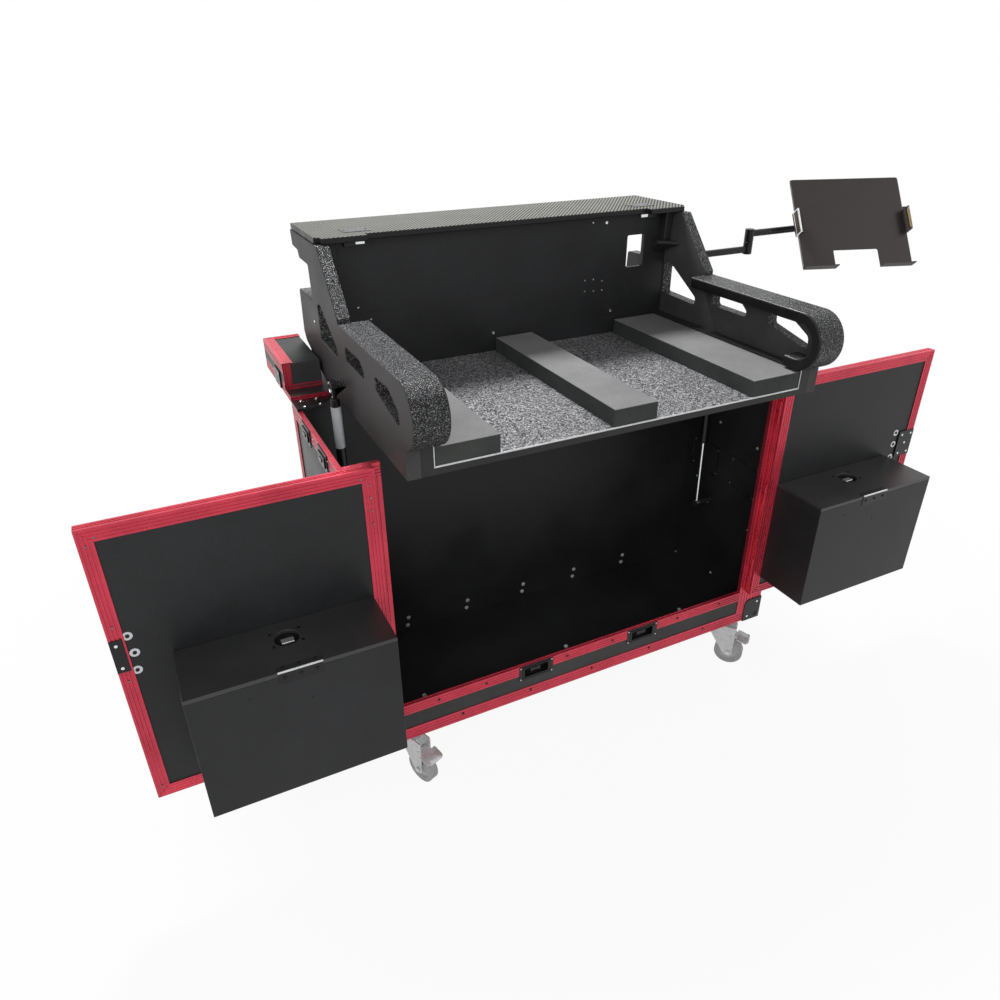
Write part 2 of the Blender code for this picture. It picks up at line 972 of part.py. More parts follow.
pad_back = pad_length - tray_front
box(
    "pad_center",
    (-pad_centre_width / 2, -tray_front, pad_foot),
    (pad_centre_width / 2, pad_back, pad_foot + pad_height),
    "foam",
    flip,
)

lid_axis = pivot(
    "doghouse_lid_hinge",
    (0, panel_rear - gap, doghouse_height - doghouse_thickness),
    frame=flip,
)
lid_front = -doghouse_depth
lid_step = lid_front + doghouse_tab
outline(
    "doghouse_lid",
    [[
        (-doghouse_half_width, 0),
        (-doghouse_half_width, lid_step),
        (-doghouse_tab_outer, lid_step),
        (-doghouse_tab_outer, lid_front),
        (-doghouse_tab_inner, lid_front),
        (-doghouse_tab_inner, lid_step),
        (doghouse_tab_inner, lid_step),
        (doghouse_tab_inner, lid_front),
        (doghouse_tab_outer, lid_front),
        (doghouse_tab_outer, lid_step),
        (doghouse_half_width, lid_step),
        (doghouse_half_width, 0),
    ]],
    0,
    doghouse_thickness,
    "Z",
    "tread_black",
    lid_axis,
)

# The side panel's edge, from the pivot lobe round the rear, over the slope
# and the arm, and back along the underside.
arm_centre = (-arm_centre_y, arm_centre_z)
lobe_start = math.degrees(math.asin(tray_drop / pivot_lobe))
rear_edge = [
    (panel_heel_y, -panel_heel_drop),
    (0.248, 0.055, 0.015),
    (0.265, 0.078, 0.010),
    (0.256, 0.188, 0.008),
    (0.115, 0.190, 0.006),
    (0.122, 0.223),
    (0.125, 0.269, 0.006),
    (0.208, 0.270),
    (0.219, 0.287, 0.006),
    (0.271, 0.290, 0.006),
    (panel_rear, panel_head),
    (slope_top_y, panel_head),
    (-arm_rear, arm_top + slope_step, 0.006),
    (-arm_rear, arm_top),
]
lobe_end = math.degrees(math.asin(panel_heel_drop / pivot_lobe))
lobe = arc((0, 0), pivot_lobe, 180 + lobe_start, 360 - lobe_end, 8)
arm_meets = 180 + math.degrees(math.acos((tray_front - arm_centre_y) / arm_radius))
arm_front = arc(arm_centre, arm_radius, 90, arm_meets, 18)
panel_edge = lobe + rounded(rear_edge) + arm_front + [(-tray_front, -tray_drop)]
triangle = rounded([
    (0.074, 0.186, 0.004),
    (0.048, 0.192, 0.006),
    (-0.072, 0.120, 0.010),
    (-0.072, 0.100, 0.008),
    (0.074, 0.105, 0.004),
])
slot_rear = rounded([
    (-0.140, 0.115, 0.010),
    (-0.140, 0.147, 0.012),
    (-0.250, 0.147, 0.014),
    (-0.272, 0.130, 0.008),
    (-0.272, 0.115, 0.008),
])
slot_front = rounded([
    (-0.347, 0.145, 0.006),
    (-0.350, 0.118, 0.008),
    (-0.484, 0.088, 0.010),
    (-0.480, 0.120, 0.014),
    (-0.427, 0.148, 0.010),
])
armrest_edge = (
    [(-arm_rear, arm_top)]
    + arc(arm_centre, arm_radius, 90, 270, 18)
    + [
        (-arm_centre_y + armrest_hook, arm_bottom_z),
        (-arm_centre_y + armrest_hook, arm_bottom_z + armrest_thickness),
    ]
    + arc(arm_centre, arm_radius - armrest_thickness, 270, 90, 14)
    + [(-arm_rear, arm_top - armrest_thickness)]
)
for hand, side in sides.items():
    panel = outline(
        hand + "_side_panel",
        [panel_edge, triangle, slot_rear, slot_front],
        side * panel_inner,
        side * panel_outer,
        "X",
        "grey_panel",
        flip,
    )
    pivot_hole = bar(
        hand + "_pivot_hole",
        (side * (panel_outer + reach), 0, 0),
        (side * (bracket_x - pivot_depth - bracket_side_gap - pivot_clearance), 0, 0),
        pivot_radius + pivot_clearance,
        frame=flip,
        sides=32,
    )
    stud = bar(
        hand + "_panel_stud",
        (side * (panel_outer - panel_thickness / 2), spring_head_y, spring_head_z),
        (side * (spring_x - spring_eye_width / 2 - gap), spring_head_y, spring_head_z),
        spring_stud_radius,
        frame=flip,
    )
    cut(panel, pivot_hole)
    join(panel, stud)
    outline(
        hand + "_armrest",
        [armrest_edge],
        side * (tray_half_width - armrest_width),
        side * tray_half_width,
        "X",
        "rough_paint",
        flip,
    )
    box(
        "pad_" + hand,
        (side * (tray_half_inside - pad_side_gap - pad_side_width), -tray_front, pad_foot),
        (side * (tray_half_inside - pad_side_gap), pad_back, pad_foot + pad_height),
        "foam",
        flip,
    )

    # Bracket on the top rail that carries the tray's pivot.
    foot_z = case_height + gap
    bracket = box(
        "pivot_bracket_" + hand,
        (side * bracket_x, pivot_y - bracket_front, foot_z),
        (side * case_half_width, pivot_y + bracket_back, foot_z + bracket_foot),
        "black_steel",
    )
    upright = outline(
        hand + "_bracket_upright",
        [rounded([
            (pivot_y - bracket_half_width, foot_z),
            (pivot_y + bracket_half_width, foot_z),
            (pivot_y + bracket_half_width, pivot_z + bracket_rise, 0.012),
            (pivot_y - bracket_half_width, pivot_z + bracket_rise, 0.012),
        ])],
        side * bracket_x,
        side * (bracket_x + bracket_thickness),
        "X",
    )
    shoulder = bar(
        hand + "_bracket_shoulder",
        (side * (bracket_x + bracket_thickness / 2), pivot_y, pivot_z),
        (side * (panel_outer + gap), pivot_y, pivot_z),
        pivot_shoulder,
        sides=32,
    )
    spigot = bar(
        hand + "_bracket_pin",
        (side * (bracket_x + bracket_thickness / 2), pivot_y, pivot_z),
        (side * (panel_outer - pivot_depth), pivot_y, pivot_z),
        pivot_radius,
        sides=32,
    )
    join(bracket, upright, shoulder, spigot)

    # Gas spring: rod standing on the wall's stud, tube sliding on the rod.
    head_y = pivot_y + spring_head_y
    head_z = pivot_z + spring_head_z
    lean = math.atan2(head_y - spring_foot_y, head_z - spring_foot_z)
    span = math.hypot(head_y - spring_foot_y, head_z - spring_foot_z)
    tube_foot = span - spring_neck - spring_tube_length
    foot = pivot(
        "spring_foot_" + hand,
        (side * spring_x, spring_foot_y, spring_foot_z),
        (-lean, 0, 0),
    )
    half_eye = spring_eye_width / 2
    rod = bar(
        "spring_rod_" + hand,
        (0, 0, spring_eye_radius / 2),
        (0, 0, tube_foot + spring_rod_engaged),
        spring_rod_radius,
        "rod_steel",
        foot,
        sides=20,
    )
    rod_eye = bar(
        hand + "_rod_eye",
        (-half_eye, 0, 0),
        (half_eye, 0, 0),
        spring_eye_radius,
        frame=foot,
    )
    eye_bore = bar(
        hand + "_rod_eye_bore",
        (-half_eye - reach, 0, 0),
        (half_eye + reach, 0, 0),
        spring_pin_radius + pivot_clearance,
        frame=foot,
        sides=16,
    )
    join(rod, rod_eye)
    cut(rod, eye_bore)
    bore = spring_rod_radius + spring_bore_clearance
    bore_top = spring_tube_length - spring_bore_end
    stroke = pivot("spring_tube_base_" + hand, (0, 0, tube_foot), frame=foot)
    tube = turned(
        "spring_tube_" + hand,
        [
            (0, spring_tube_length),
            (spring_tube_radius - 0.002, spring_tube_length),
            (spring_tube_radius, spring_tube_length - 0.002),
            (spring_tube_radius, 0.002),
            (spring_tube_radius - 0.002, 0),
            (bore, 0),
            (bore, bore_top),
            (0, bore_top),
        ],
        False,
        "black_steel",
        stroke,
        (0, 0, 0),
        steps=24,
    )
    neck = bar(
        hand + "_tube_neck",
        (0, 0, spring_tube_length - spring_bore_end / 2),
        (0, 0, spring_tube_length + spring_neck - spring_eye_radius / 2),
        spring_rod_radius,
        frame=stroke,
        sides=16,
    )
    tube_eye = bar(
        hand + "_tube_eye",
        (-half_eye, 0, spring_tube_length + spring_neck),
        (half_eye, 0, spring_tube_length + spring_neck),
        spring_eye_radius,
        frame=stroke,
    )
    join(tube, neck, tube_eye)

# Rear cover with an end block over each side wall. Its hinge leaves lie on
# the top rail.
cover_low = case_height + gap
cover_axis = pivot("rear_cover_hinge", (0, case_half_depth + cover_clearance, cover_low))
block_inner = case_half_width - cover_block_width
cover = outline(
    "rear_cover",
    [[
        (-case_half_width, 0),
        (case_half_width, 0),
        (case_half_width, cover_block_height),
        (block_inner, cover_block_height),
        (block_inner, cover_thickness),
        (-block_inner, cover_thickness),
        (-block_inner, cover_block_height),
        (-case_half_width, cover_block_height),
    ]],
    0,
    cover_depth,
    "Y",
    "laminate",
    cover_axis,
)
for side in (-1, 1):
    clearing = box(
        "cover_clearing_" + str(side),
        (side * (block_inner - gap), -reach, cover_thickness),
        (side * (case_half_width + reach), cover_block_set, cover_block_height + reach),
        frame=cover_axis,
    )
    cut(cover, clearing)
for number, x in enumerate(cover_leaf_x):
    leaf = box(
        "rear_cover_leaf_" + str(number),
        (x - cover_leaf_width / 2, -cover_leaf_reach - cover_clearance, 0),
        (x + cover_leaf_width / 2, cover_thickness, cover_leaf_thickness),
        frame=cover_axis,
    )
    join(cover, leaf)

# Tablet holder on the right side panel.
lug_half = arm_sleeve_half + gap
plate_x = panel_outer + gap
holder = box(
    "tablet_bracket",
    (plate_x, holder_y - holder_plate_front, holder_z - holder_plate_low),
    (plate_x + holder_plate, holder_y + holder_plate_back, holder_z + holder_plate_high),
    "black_steel",
    flip,
)
for level in (-1, 1):
    lug = box(
        "tablet_bracket_lug_" + str(level),
        (plate_x + holder_plate / 2, holder_y - holder_lug_reach, holder_z + level * lug_half),
        (holder_x + holder_lug_reach, holder_y + holder_lug_reach,
         holder_z + level * (lug_half + holder_lug)),
        frame=flip,
    )
    join(holder, lug)
bracket_pin = bar(
    "tablet_bracket_pin",
    (holder_x, holder_y, holder_z - lug_half - holder_lug / 2),
    (holder_x, holder_y, holder_z + lug_half + holder_lug / 2),
    arm_pin_radius,
    frame=flip,
    sides=20,
)
join(holder, bracket_pin)

lower_axis = pivot("tablet_lower_axis", (holder_x, holder_y, holder_z), frame=flip)
lower = bar(
    "tablet_lower_arm",
    (0, 0, -arm_sleeve_half),
    (0, 0, arm_sleeve_half),
    arm_sleeve_radius,
    "black_steel",
    lower_axis,
)
lower_rod = bar(
    "tablet_lower_rod",
    (arm_sleeve_radius * 0.8, 0, 0),
    (lower_arm_length, 0, 0),
    arm_rod_radius,
    frame=lower_axis,
    sides=20,
)
lower_bore = bar(
    "tablet_lower_bore",
    (0, 0, -arm_sleeve_half - reach),
    (0, 0, arm_sleeve_half + reach),
    arm_pin_radius + arm_pin_clearance,
    frame=lower_axis,
    sides=20,
)
knuckle_hub = bar(
    "tablet_knuckle_hub",
    (lower_arm_length, 0, -arm_sleeve_half),
    (lower_arm_length, 0, arm_sleeve_half),
    arm_sleeve_radius,
    frame=lower_axis,
)
collar_top = upper_arm_rise - arm_sleeve_half - gap
knuckle_collar = bar(
    "tablet_knuckle_collar",
    (lower_arm_length, 0, 0),
    (lower_arm_length, 0, collar_top),
    arm_collar_radius,
    frame=lower_axis,
)
knuckle_pin = bar(
    "tablet_knuckle_pin",
    (lower_arm_length, 0, 0),
    (lower_arm_length, 0, upper_arm_rise + arm_sleeve_half + 0.003),
    arm_pin_radius,
    frame=lower_axis,
    sides=20,
)
join(lower, lower_rod, knuckle_hub, knuckle_collar, knuckle_pin)
cut(lower, lower_bore)

upper_axis = pivot("tablet_upper_axis", (lower_arm_length, 0, upper_arm_rise), frame=lower_axis)
upper = bar(
    "tablet_upper_arm",
    (0, 0, -arm_sleeve_half),
    (0, 0, arm_sleeve_half),
    arm_sleeve_radius,
    "black_steel",
    upper_axis,
)
upper_rod = bar(
    "tablet_upper_rod",
    (arm_sleeve_radius * 0.8, 0, 0),
    (upper_arm_length, 0, 0),
    arm_rod_radius,
    frame=upper_axis,
    sides=20,
)
upper_bore = bar(
    "tablet_upper_bore",
    (0, 0, -arm_sleeve_half - reach),
    (0, 0, arm_sleeve_half + reach),
    arm_pin_radius + arm_pin_clearance,
    frame=upper_axis,
    sides=20,
)
end_hub = bar(
    "tablet_end_hub",
    (upper_arm_length, 0, -head_hub_half),
    (upper_arm_length, 0, head_hub_half),
    arm_sleeve_radius,
    frame=upper_axis,
)
head_low = head_hub_half + gap
head_high = head_low + 2 * head_hub_half
end_pin = bar(
    "tablet_end_pin",
    (upper_arm_length, 0, 0),
    (upper_arm_length, 0, head_high + 0.003),
    arm_pin_radius,
    frame=upper_axis,
    sides=20,
)
join(upper, upper_rod, end_hub, end_pin)
cut(upper, upper_bore)

head_axis = pivot(
    "tablet_head_axis",
    (upper_arm_length, 0, 0),
    (0, 0, math.radians(head_turn)),
    upper_axis,
)
head = bar(
    "tablet_tilt_head",
    (0, 0, head_low),
    (0, 0, head_high),
    arm_sleeve_radius,
    "black_steel",
    head_axis,
)
head_neck = bar(
    "tablet_head_neck",
    (0, -arm_sleeve_radius * 0.8, (head_low + head_high) / 2),
    (0, -head_reach, head_rise),
    arm_rod_radius,
    frame=head_axis,
    sides=16,
)
barrel = bar(
    "tablet_barrel",
    (-barrel_length / 2, -head_reach, head_rise),
    (barrel_length / 2, -head_reach, head_rise),
    barrel_radius,
    frame=head_axis,
)
head_bore = bar(
    "tablet_head_bore",
    (0, 0, 0),
    (0, 0, head_high + reach),
    arm_pin_radius + arm_pin_clearance,
    frame=head_axis,
    sides=20,
)
barrel_bore = bar(
    "tablet_barrel_bore",
    (-barrel_length / 2 - reach, -head_reach, head_rise),
    (barrel_length / 2 + reach, -head_reach, head_rise),
    tilt_pin_radius + arm_pin_clearance,
    frame=head_axis,
    sides=16,
)
join(head, head_neck, barrel)
cut(head, head_bore, barrel_bore)

tilt_axis = pivot(
    "tablet_tilt_axis",
    (0, -head_reach, head_rise),
    (math.radians(tablet_tilt), 0, 0),
    head_axis,
)
plate_left = tablet_shift - tablet_width / 2
plate_right = tablet_shift + tablet_width / 2
plate_low = -tablet_drop - tablet_height / 2
plate_high = -tablet_drop + tablet_height / 2
plate_back = -tablet_standoff
plate_front = plate_back - tablet_thickness
notch_start = plate_left + notch_left
notch_end = notch_start + notch_width
tablet = outline(
    "tablet_plate",
    [rounded([
        (plate_left, plate_low),
        (notch_start, plate_low),
        (notch_start, plate_low + notch_height, 0.005),
        (notch_end, plate_low + notch_height, 0.005),
        (notch_end, plate_low),
        (plate_right, plate_low),
        (plate_right, plate_high, 0.004),
        (plate_left, plate_high, 0.004),
    ], 3)],
    plate_front,
    plate_back,
    "Y",
    "black_plastic",
    tilt_axis,
)
lip_spans = {"left": (plate_left, notch_start), "right": (notch_end, plate_right)}
for hand, span_x in lip_spans.items():
    lip = box(
        "tablet_lip_" + hand,
        (span_x[0] + lip_set, plate_front - lip_depth, plate_low - lip_set),
        (span_x[1] - lip_set, (plate_front + plate_back) / 2, plate_low + lip_thickness - lip_set),
        frame=tilt_axis,
    )
    edge = plate_left if hand == "left" else plate_right
    outward = -1 if hand == "left" else 1
    clip_back = plate_back + 0.003
    clip_front = clip_back - clip_depth
    clip = outline(
        "tablet_clip_" + hand,
        [[
            (edge - outward * clip_bite, clip_back),
            (edge + outward * clip_wall, clip_back),
            (edge + outward * clip_wall, clip_front),
            (edge - outward * clip_return, clip_front),
            (edge - outward * clip_return, clip_front + clip_lip),
            (edge - outward * clip_bite, clip_front + clip_lip),
        ]],
        -tablet_drop - clip_height / 2,
        -tablet_drop + clip_height / 2,
        "Z",
        frame=tilt_axis,
    )
    lug_near = outward * (barrel_length / 2 + gap)
    lug = box(
        "tablet_lug_" + hand,
        (lug_near, plate_back - tablet_thickness / 2, -barrel_radius),
        (lug_near + outward * lug_thickness, barrel_radius, barrel_radius),
        frame=tilt_axis,
    )
    join(tablet, lip, clip, lug)
tilt_pin = bar(
    "tablet_tilt_pin",
    (-barrel_length / 2 - lug_thickness / 2, 0, 0),
    (barrel_length / 2 + lug_thickness / 2, 0, 0),
    tilt_pin_radius,
    frame=tilt_axis,
    sides=16,
)
join(tablet, tilt_pin)

# The stand moves the case so that the origin is on the ground, under the
# middle of everything.
bpy.context.view_layer.update()
graph = bpy.context.evaluated_depsgraph_get()
corners = []
for solid in parts.objects:
    if solid.type == "MESH":
        shown = solid.evaluated_get(graph)
        corners += [solid.matrix_world @ point.co for point in shown.to_mesh().vertices]
        shown.to_mesh_clear()
low = Vector(min(corner[axis] for corner in corners) for axis in range(3))
high = Vector(max(corner[axis] for corner in corners) for axis in range(3))
stand.location = -Vector(((low.x + high.x) / 2, (low.y + high.y) / 2, low.z))
bpy.context.view_layer.update()
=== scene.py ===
import json
import math

import bmesh
import bpy
from mathutils import Matrix, Vector


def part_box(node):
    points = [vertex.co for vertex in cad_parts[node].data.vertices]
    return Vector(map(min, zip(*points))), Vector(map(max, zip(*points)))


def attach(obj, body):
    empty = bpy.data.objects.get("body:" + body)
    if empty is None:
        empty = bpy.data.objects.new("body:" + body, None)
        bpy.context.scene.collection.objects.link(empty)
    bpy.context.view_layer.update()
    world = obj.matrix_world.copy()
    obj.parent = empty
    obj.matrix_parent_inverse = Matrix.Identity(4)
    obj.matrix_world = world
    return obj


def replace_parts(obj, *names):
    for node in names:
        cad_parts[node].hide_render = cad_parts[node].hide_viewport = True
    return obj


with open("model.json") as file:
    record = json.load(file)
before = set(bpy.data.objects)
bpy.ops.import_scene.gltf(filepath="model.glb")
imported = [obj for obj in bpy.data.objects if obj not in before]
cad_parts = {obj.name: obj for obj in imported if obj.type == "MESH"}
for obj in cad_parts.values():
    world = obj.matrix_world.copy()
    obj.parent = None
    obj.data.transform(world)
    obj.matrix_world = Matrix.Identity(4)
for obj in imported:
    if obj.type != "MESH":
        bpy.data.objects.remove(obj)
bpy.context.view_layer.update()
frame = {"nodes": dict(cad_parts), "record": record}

handSigns = {"left": -1, "right": 1}
joints = {joint["name"]: joint for joint in frame["record"]["behaviour"]["joints"]}

# Pieces are built with the middle of the floor board's underside at zero, and
# dress moves them to the board's place.
floorLow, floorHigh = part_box("base_floor")
home = Vector(((floorLow[0] + floorHigh[0]) / 2, (floorLow[1] + floorHigh[1]) / 2, floorLow[2]))


# Selecting, starting and finishing a piece.

def deselect():
    bpy.ops.object.select_all(action="DESELECT")


def activate(piece):
    deselect()
    piece.select_set(True)
    bpy.context.view_layer.objects.active = piece


def addBlock(name, low, high):
    deselect()
    centre = [(a + b) / 2 for a, b in zip(low, high)]
    bpy.ops.mesh.primitive_cube_add(size=1, location=centre)
    piece = bpy.context.active_object
    piece.name = name
    piece.scale = [abs(b - a) for a, b in zip(low, high)]
    bpy.ops.object.transform_apply(location=True, rotation=True, scale=True)
    return piece


def addRod(name, start, end, radius, sides=24):
    deselect()
    start, end = Vector(start), Vector(end)
    bpy.ops.mesh.primitive_cylinder_add(vertices=sides, radius=radius, depth=(end - start).length)
    piece = bpy.context.active_object
    piece.name = name
    turn = Vector((0, 0, 1)).rotation_difference(end - start).to_matrix().to_4x4()
    piece.data.transform(Matrix.Translation((start + end) / 2) @ turn)
    return piece


def soften(piece, width, segments=2, angle=30):
    activate(piece)
    bevel = piece.modifiers.new("soften", "BEVEL")
    bevel.width = width
    bevel.segments = segments
    bevel.limit_method = "ANGLE"
    bevel.angle_limit = math.radians(angle)
    bpy.ops.object.modifier_apply(modifier=bevel.name)
    bpy.ops.object.shade_smooth_by_angle(angle=math.radians(35))
    flats = piece.modifiers.new("flats", "WEIGHTED_NORMAL")
    flats.keep_sharp = True
    bpy.ops.object.modifier_apply(modifier=flats.name)
    return piece


def joinPieces(name, pieces):
    deselect()
    for piece in pieces:
        piece.select_set(True)
    bpy.context.view_layer.objects.active = pieces[0]
    if len(pieces) > 1:
        bpy.ops.object.join()
    pieces[0].name = name
    return pieces[0]


# A piece gets its material and the body it rides on.
def dress(piece, look, body, edgeLook=None, across=0):
    piece.data.transform(Matrix.Translation(home))
    piece.data.materials.clear()
    piece.data.materials.append(looks[look])
    if edgeLook:
        piece.data.materials.append(looks[edgeLook])
    for face in piece.data.polygons:
        face.material_index = 1 if edgeLook and abs(face.normal[across]) < 0.5 else 0
    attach(piece, body)
    return piece


def addPart(name, low, high, width, look, body, segments=2):
    return dress(soften(addBlock(name, low, high), width, segments), look, body)


# Edit mode, with only the wanted faces or edges selected.
def pick(piece, kind, wanted):
    if bpy.context.mode == "OBJECT":
        activate(piece)
        bpy.ops.object.mode_set(mode="EDIT")
    bpy.ops.mesh.select_mode(type=kind)
    bpy.ops.mesh.select_all(action="DESELECT")
    shape = bmesh.from_edit_mesh(piece.data)
    shape.normal_update()
    for part in shape.faces if kind == "FACE" else shape.edges:
        part.select = wanted(part)
    bmesh.update_edit_mesh(piece.data)


def leaveEdit():
    bpy.ops.object.mode_set(mode="OBJECT")


# The edges that lie in one upright plane, a side panel's outer face, are rounded.
def roundRim(piece, place, width, segments):
    near = 0.0003
    pick(piece, "EDGE", lambda edge: all(abs(corner.co.x - place) < near for corner in edge.verts))
    bpy.ops.mesh.bevel(offset=width, segments=segments, affect="EDGES")
    leaveEdit()


# A cleaned copy of a CAD node with its edges rounded stands for the node.
def refinedCopy(node, name, width, segments=2, angle=30, rim=None):
    cleaning = {"merge": 0.00002, "flat": math.radians(0.5)}
    piece = bpy.data.objects.new(name, frame["nodes"][node].data.copy())
    bpy.context.scene.collection.objects.link(piece)
    piece.data.transform(Matrix.Translation(-home))
    activate(piece)
    bpy.ops.object.mode_set(mode="EDIT")
    bpy.ops.mesh.select_all(action="SELECT")
    bpy.ops.mesh.remove_doubles(threshold=cleaning["merge"])
    bpy.ops.mesh.dissolve_limited(angle_limit=cleaning["flat"])
    leaveEdit()
    if rim:
        roundRim(piece, *rim)
    soften(piece, width, segments, angle)
    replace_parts(piece, node)
    return piece


# Materials.

def startMaterial(name, roughness, metallic=0.0, shine=0.5):
    material = bpy.data.materials.new(name)
    material.use_nodes = True
    tree = material.node_tree
    shader = tree.nodes["Principled BSDF"]
    shader.inputs["Roughness"].default_value = roughness
    shader.inputs["Metallic"].default_value = metallic
    shader.inputs["Specular IOR Level"].default_value = shine
    coords = tree.nodes.new("ShaderNodeTexCoord")
    return material, tree, shader, coords.outputs["Object"]


def addNoise(tree, coords, scale, detail, roughness):
    noise = tree.nodes.new("ShaderNodeTexNoise")
    noise.inputs["Scale"].default_value = scale
    noise.inputs["Detail"].default_value = detail
    noise.inputs["Roughness"].default_value = roughness
    tree.links.new(coords, noise.inputs["Vector"])
    return noise.outputs["Fac"]


def addRamp(tree, source, stops):
    ramp = tree.nodes.new("ShaderNodeValToRGB")
    steps = ramp.color_ramp.elements
    steps[0].position, steps[0].color = stops[0][0], (*stops[0][1], 1)
    steps[1].position, steps[1].color = stops[-1][0], (*stops[-1][1], 1)
    for place, color in stops[1:-1]:
        steps.new(place).color = (*color, 1)
    tree.links.new(source, ramp.inputs["Fac"])
    return ramp.outputs["Color"]


def addRange(tree, source, low, high, fromLow=0.3, fromHigh=0.7):
    span = tree.nodes.new("ShaderNodeMapRange")
    span.inputs["From Min"].default_value = fromLow
    span.inputs["From Max"].default_value = fromHigh
    span.inputs["To Min"].default_value = low
    span.inputs["To Max"].default_value = high
    tree.links.new(source, span.inputs["Value"])
    return span.outputs["Result"]


def addBump(tree, shader, height, strength, distance, below=None):
    bump = tree.nodes.new("ShaderNodeBump")
    bump.inputs["Strength"].default_value = strength
    bump.inputs["Distance"].default_value = distance
    tree.links.new(height, bump.inputs["Height"])
    if below is not None:
        tree.links.new(below, bump.inputs["Normal"])
    tree.links.new(bump.outputs["Normal"], shader.inputs["Normal"])
    return bump.outputs["Normal"]


# Broad shade changes, a fine grain and a little relief, for most finishes.
def mottledMaterial(name, values):
    material, tree, shader, coords = startMaterial(name, values["rough"][0], values.get("metallic", 0),
                                                   values.get("shine", 0.5))
    broad = addNoise(tree, coords, values["scales"][0], 5, 0.6)
    fine = addNoise(tree, coords, values["scales"][1], 3, 0.6)
    color = addRamp(tree, broad, [(0.3, values["dark"]), (0.7, values["light"])])
    # A grain shade is one number for a grey, or a whole colour.
    low, high = (shade if isinstance(shade, tuple) else (shade,) * 3 for shade in values["grain"])
    speck = addRamp(tree, fine, [(0.35, low), (0.68, high)])
    blend = tree.nodes.new("ShaderNodeMix")
    blend.data_type = "RGBA"
    blend.blend_type = "MULTIPLY"
    blend.inputs["Factor"].default_value = 1.0
    tree.links.new(color, blend.inputs["A"])
    tree.links.new(speck, blend.inputs["B"])
    tree.links.new(blend.outputs["Result"], shader.inputs["Base Color"])
    tree.links.new(addRange(tree, broad, *values["rough"]), shader.inputs["Roughness"])
    addBump(tree, shader, fine, *values["relief"])
    return material


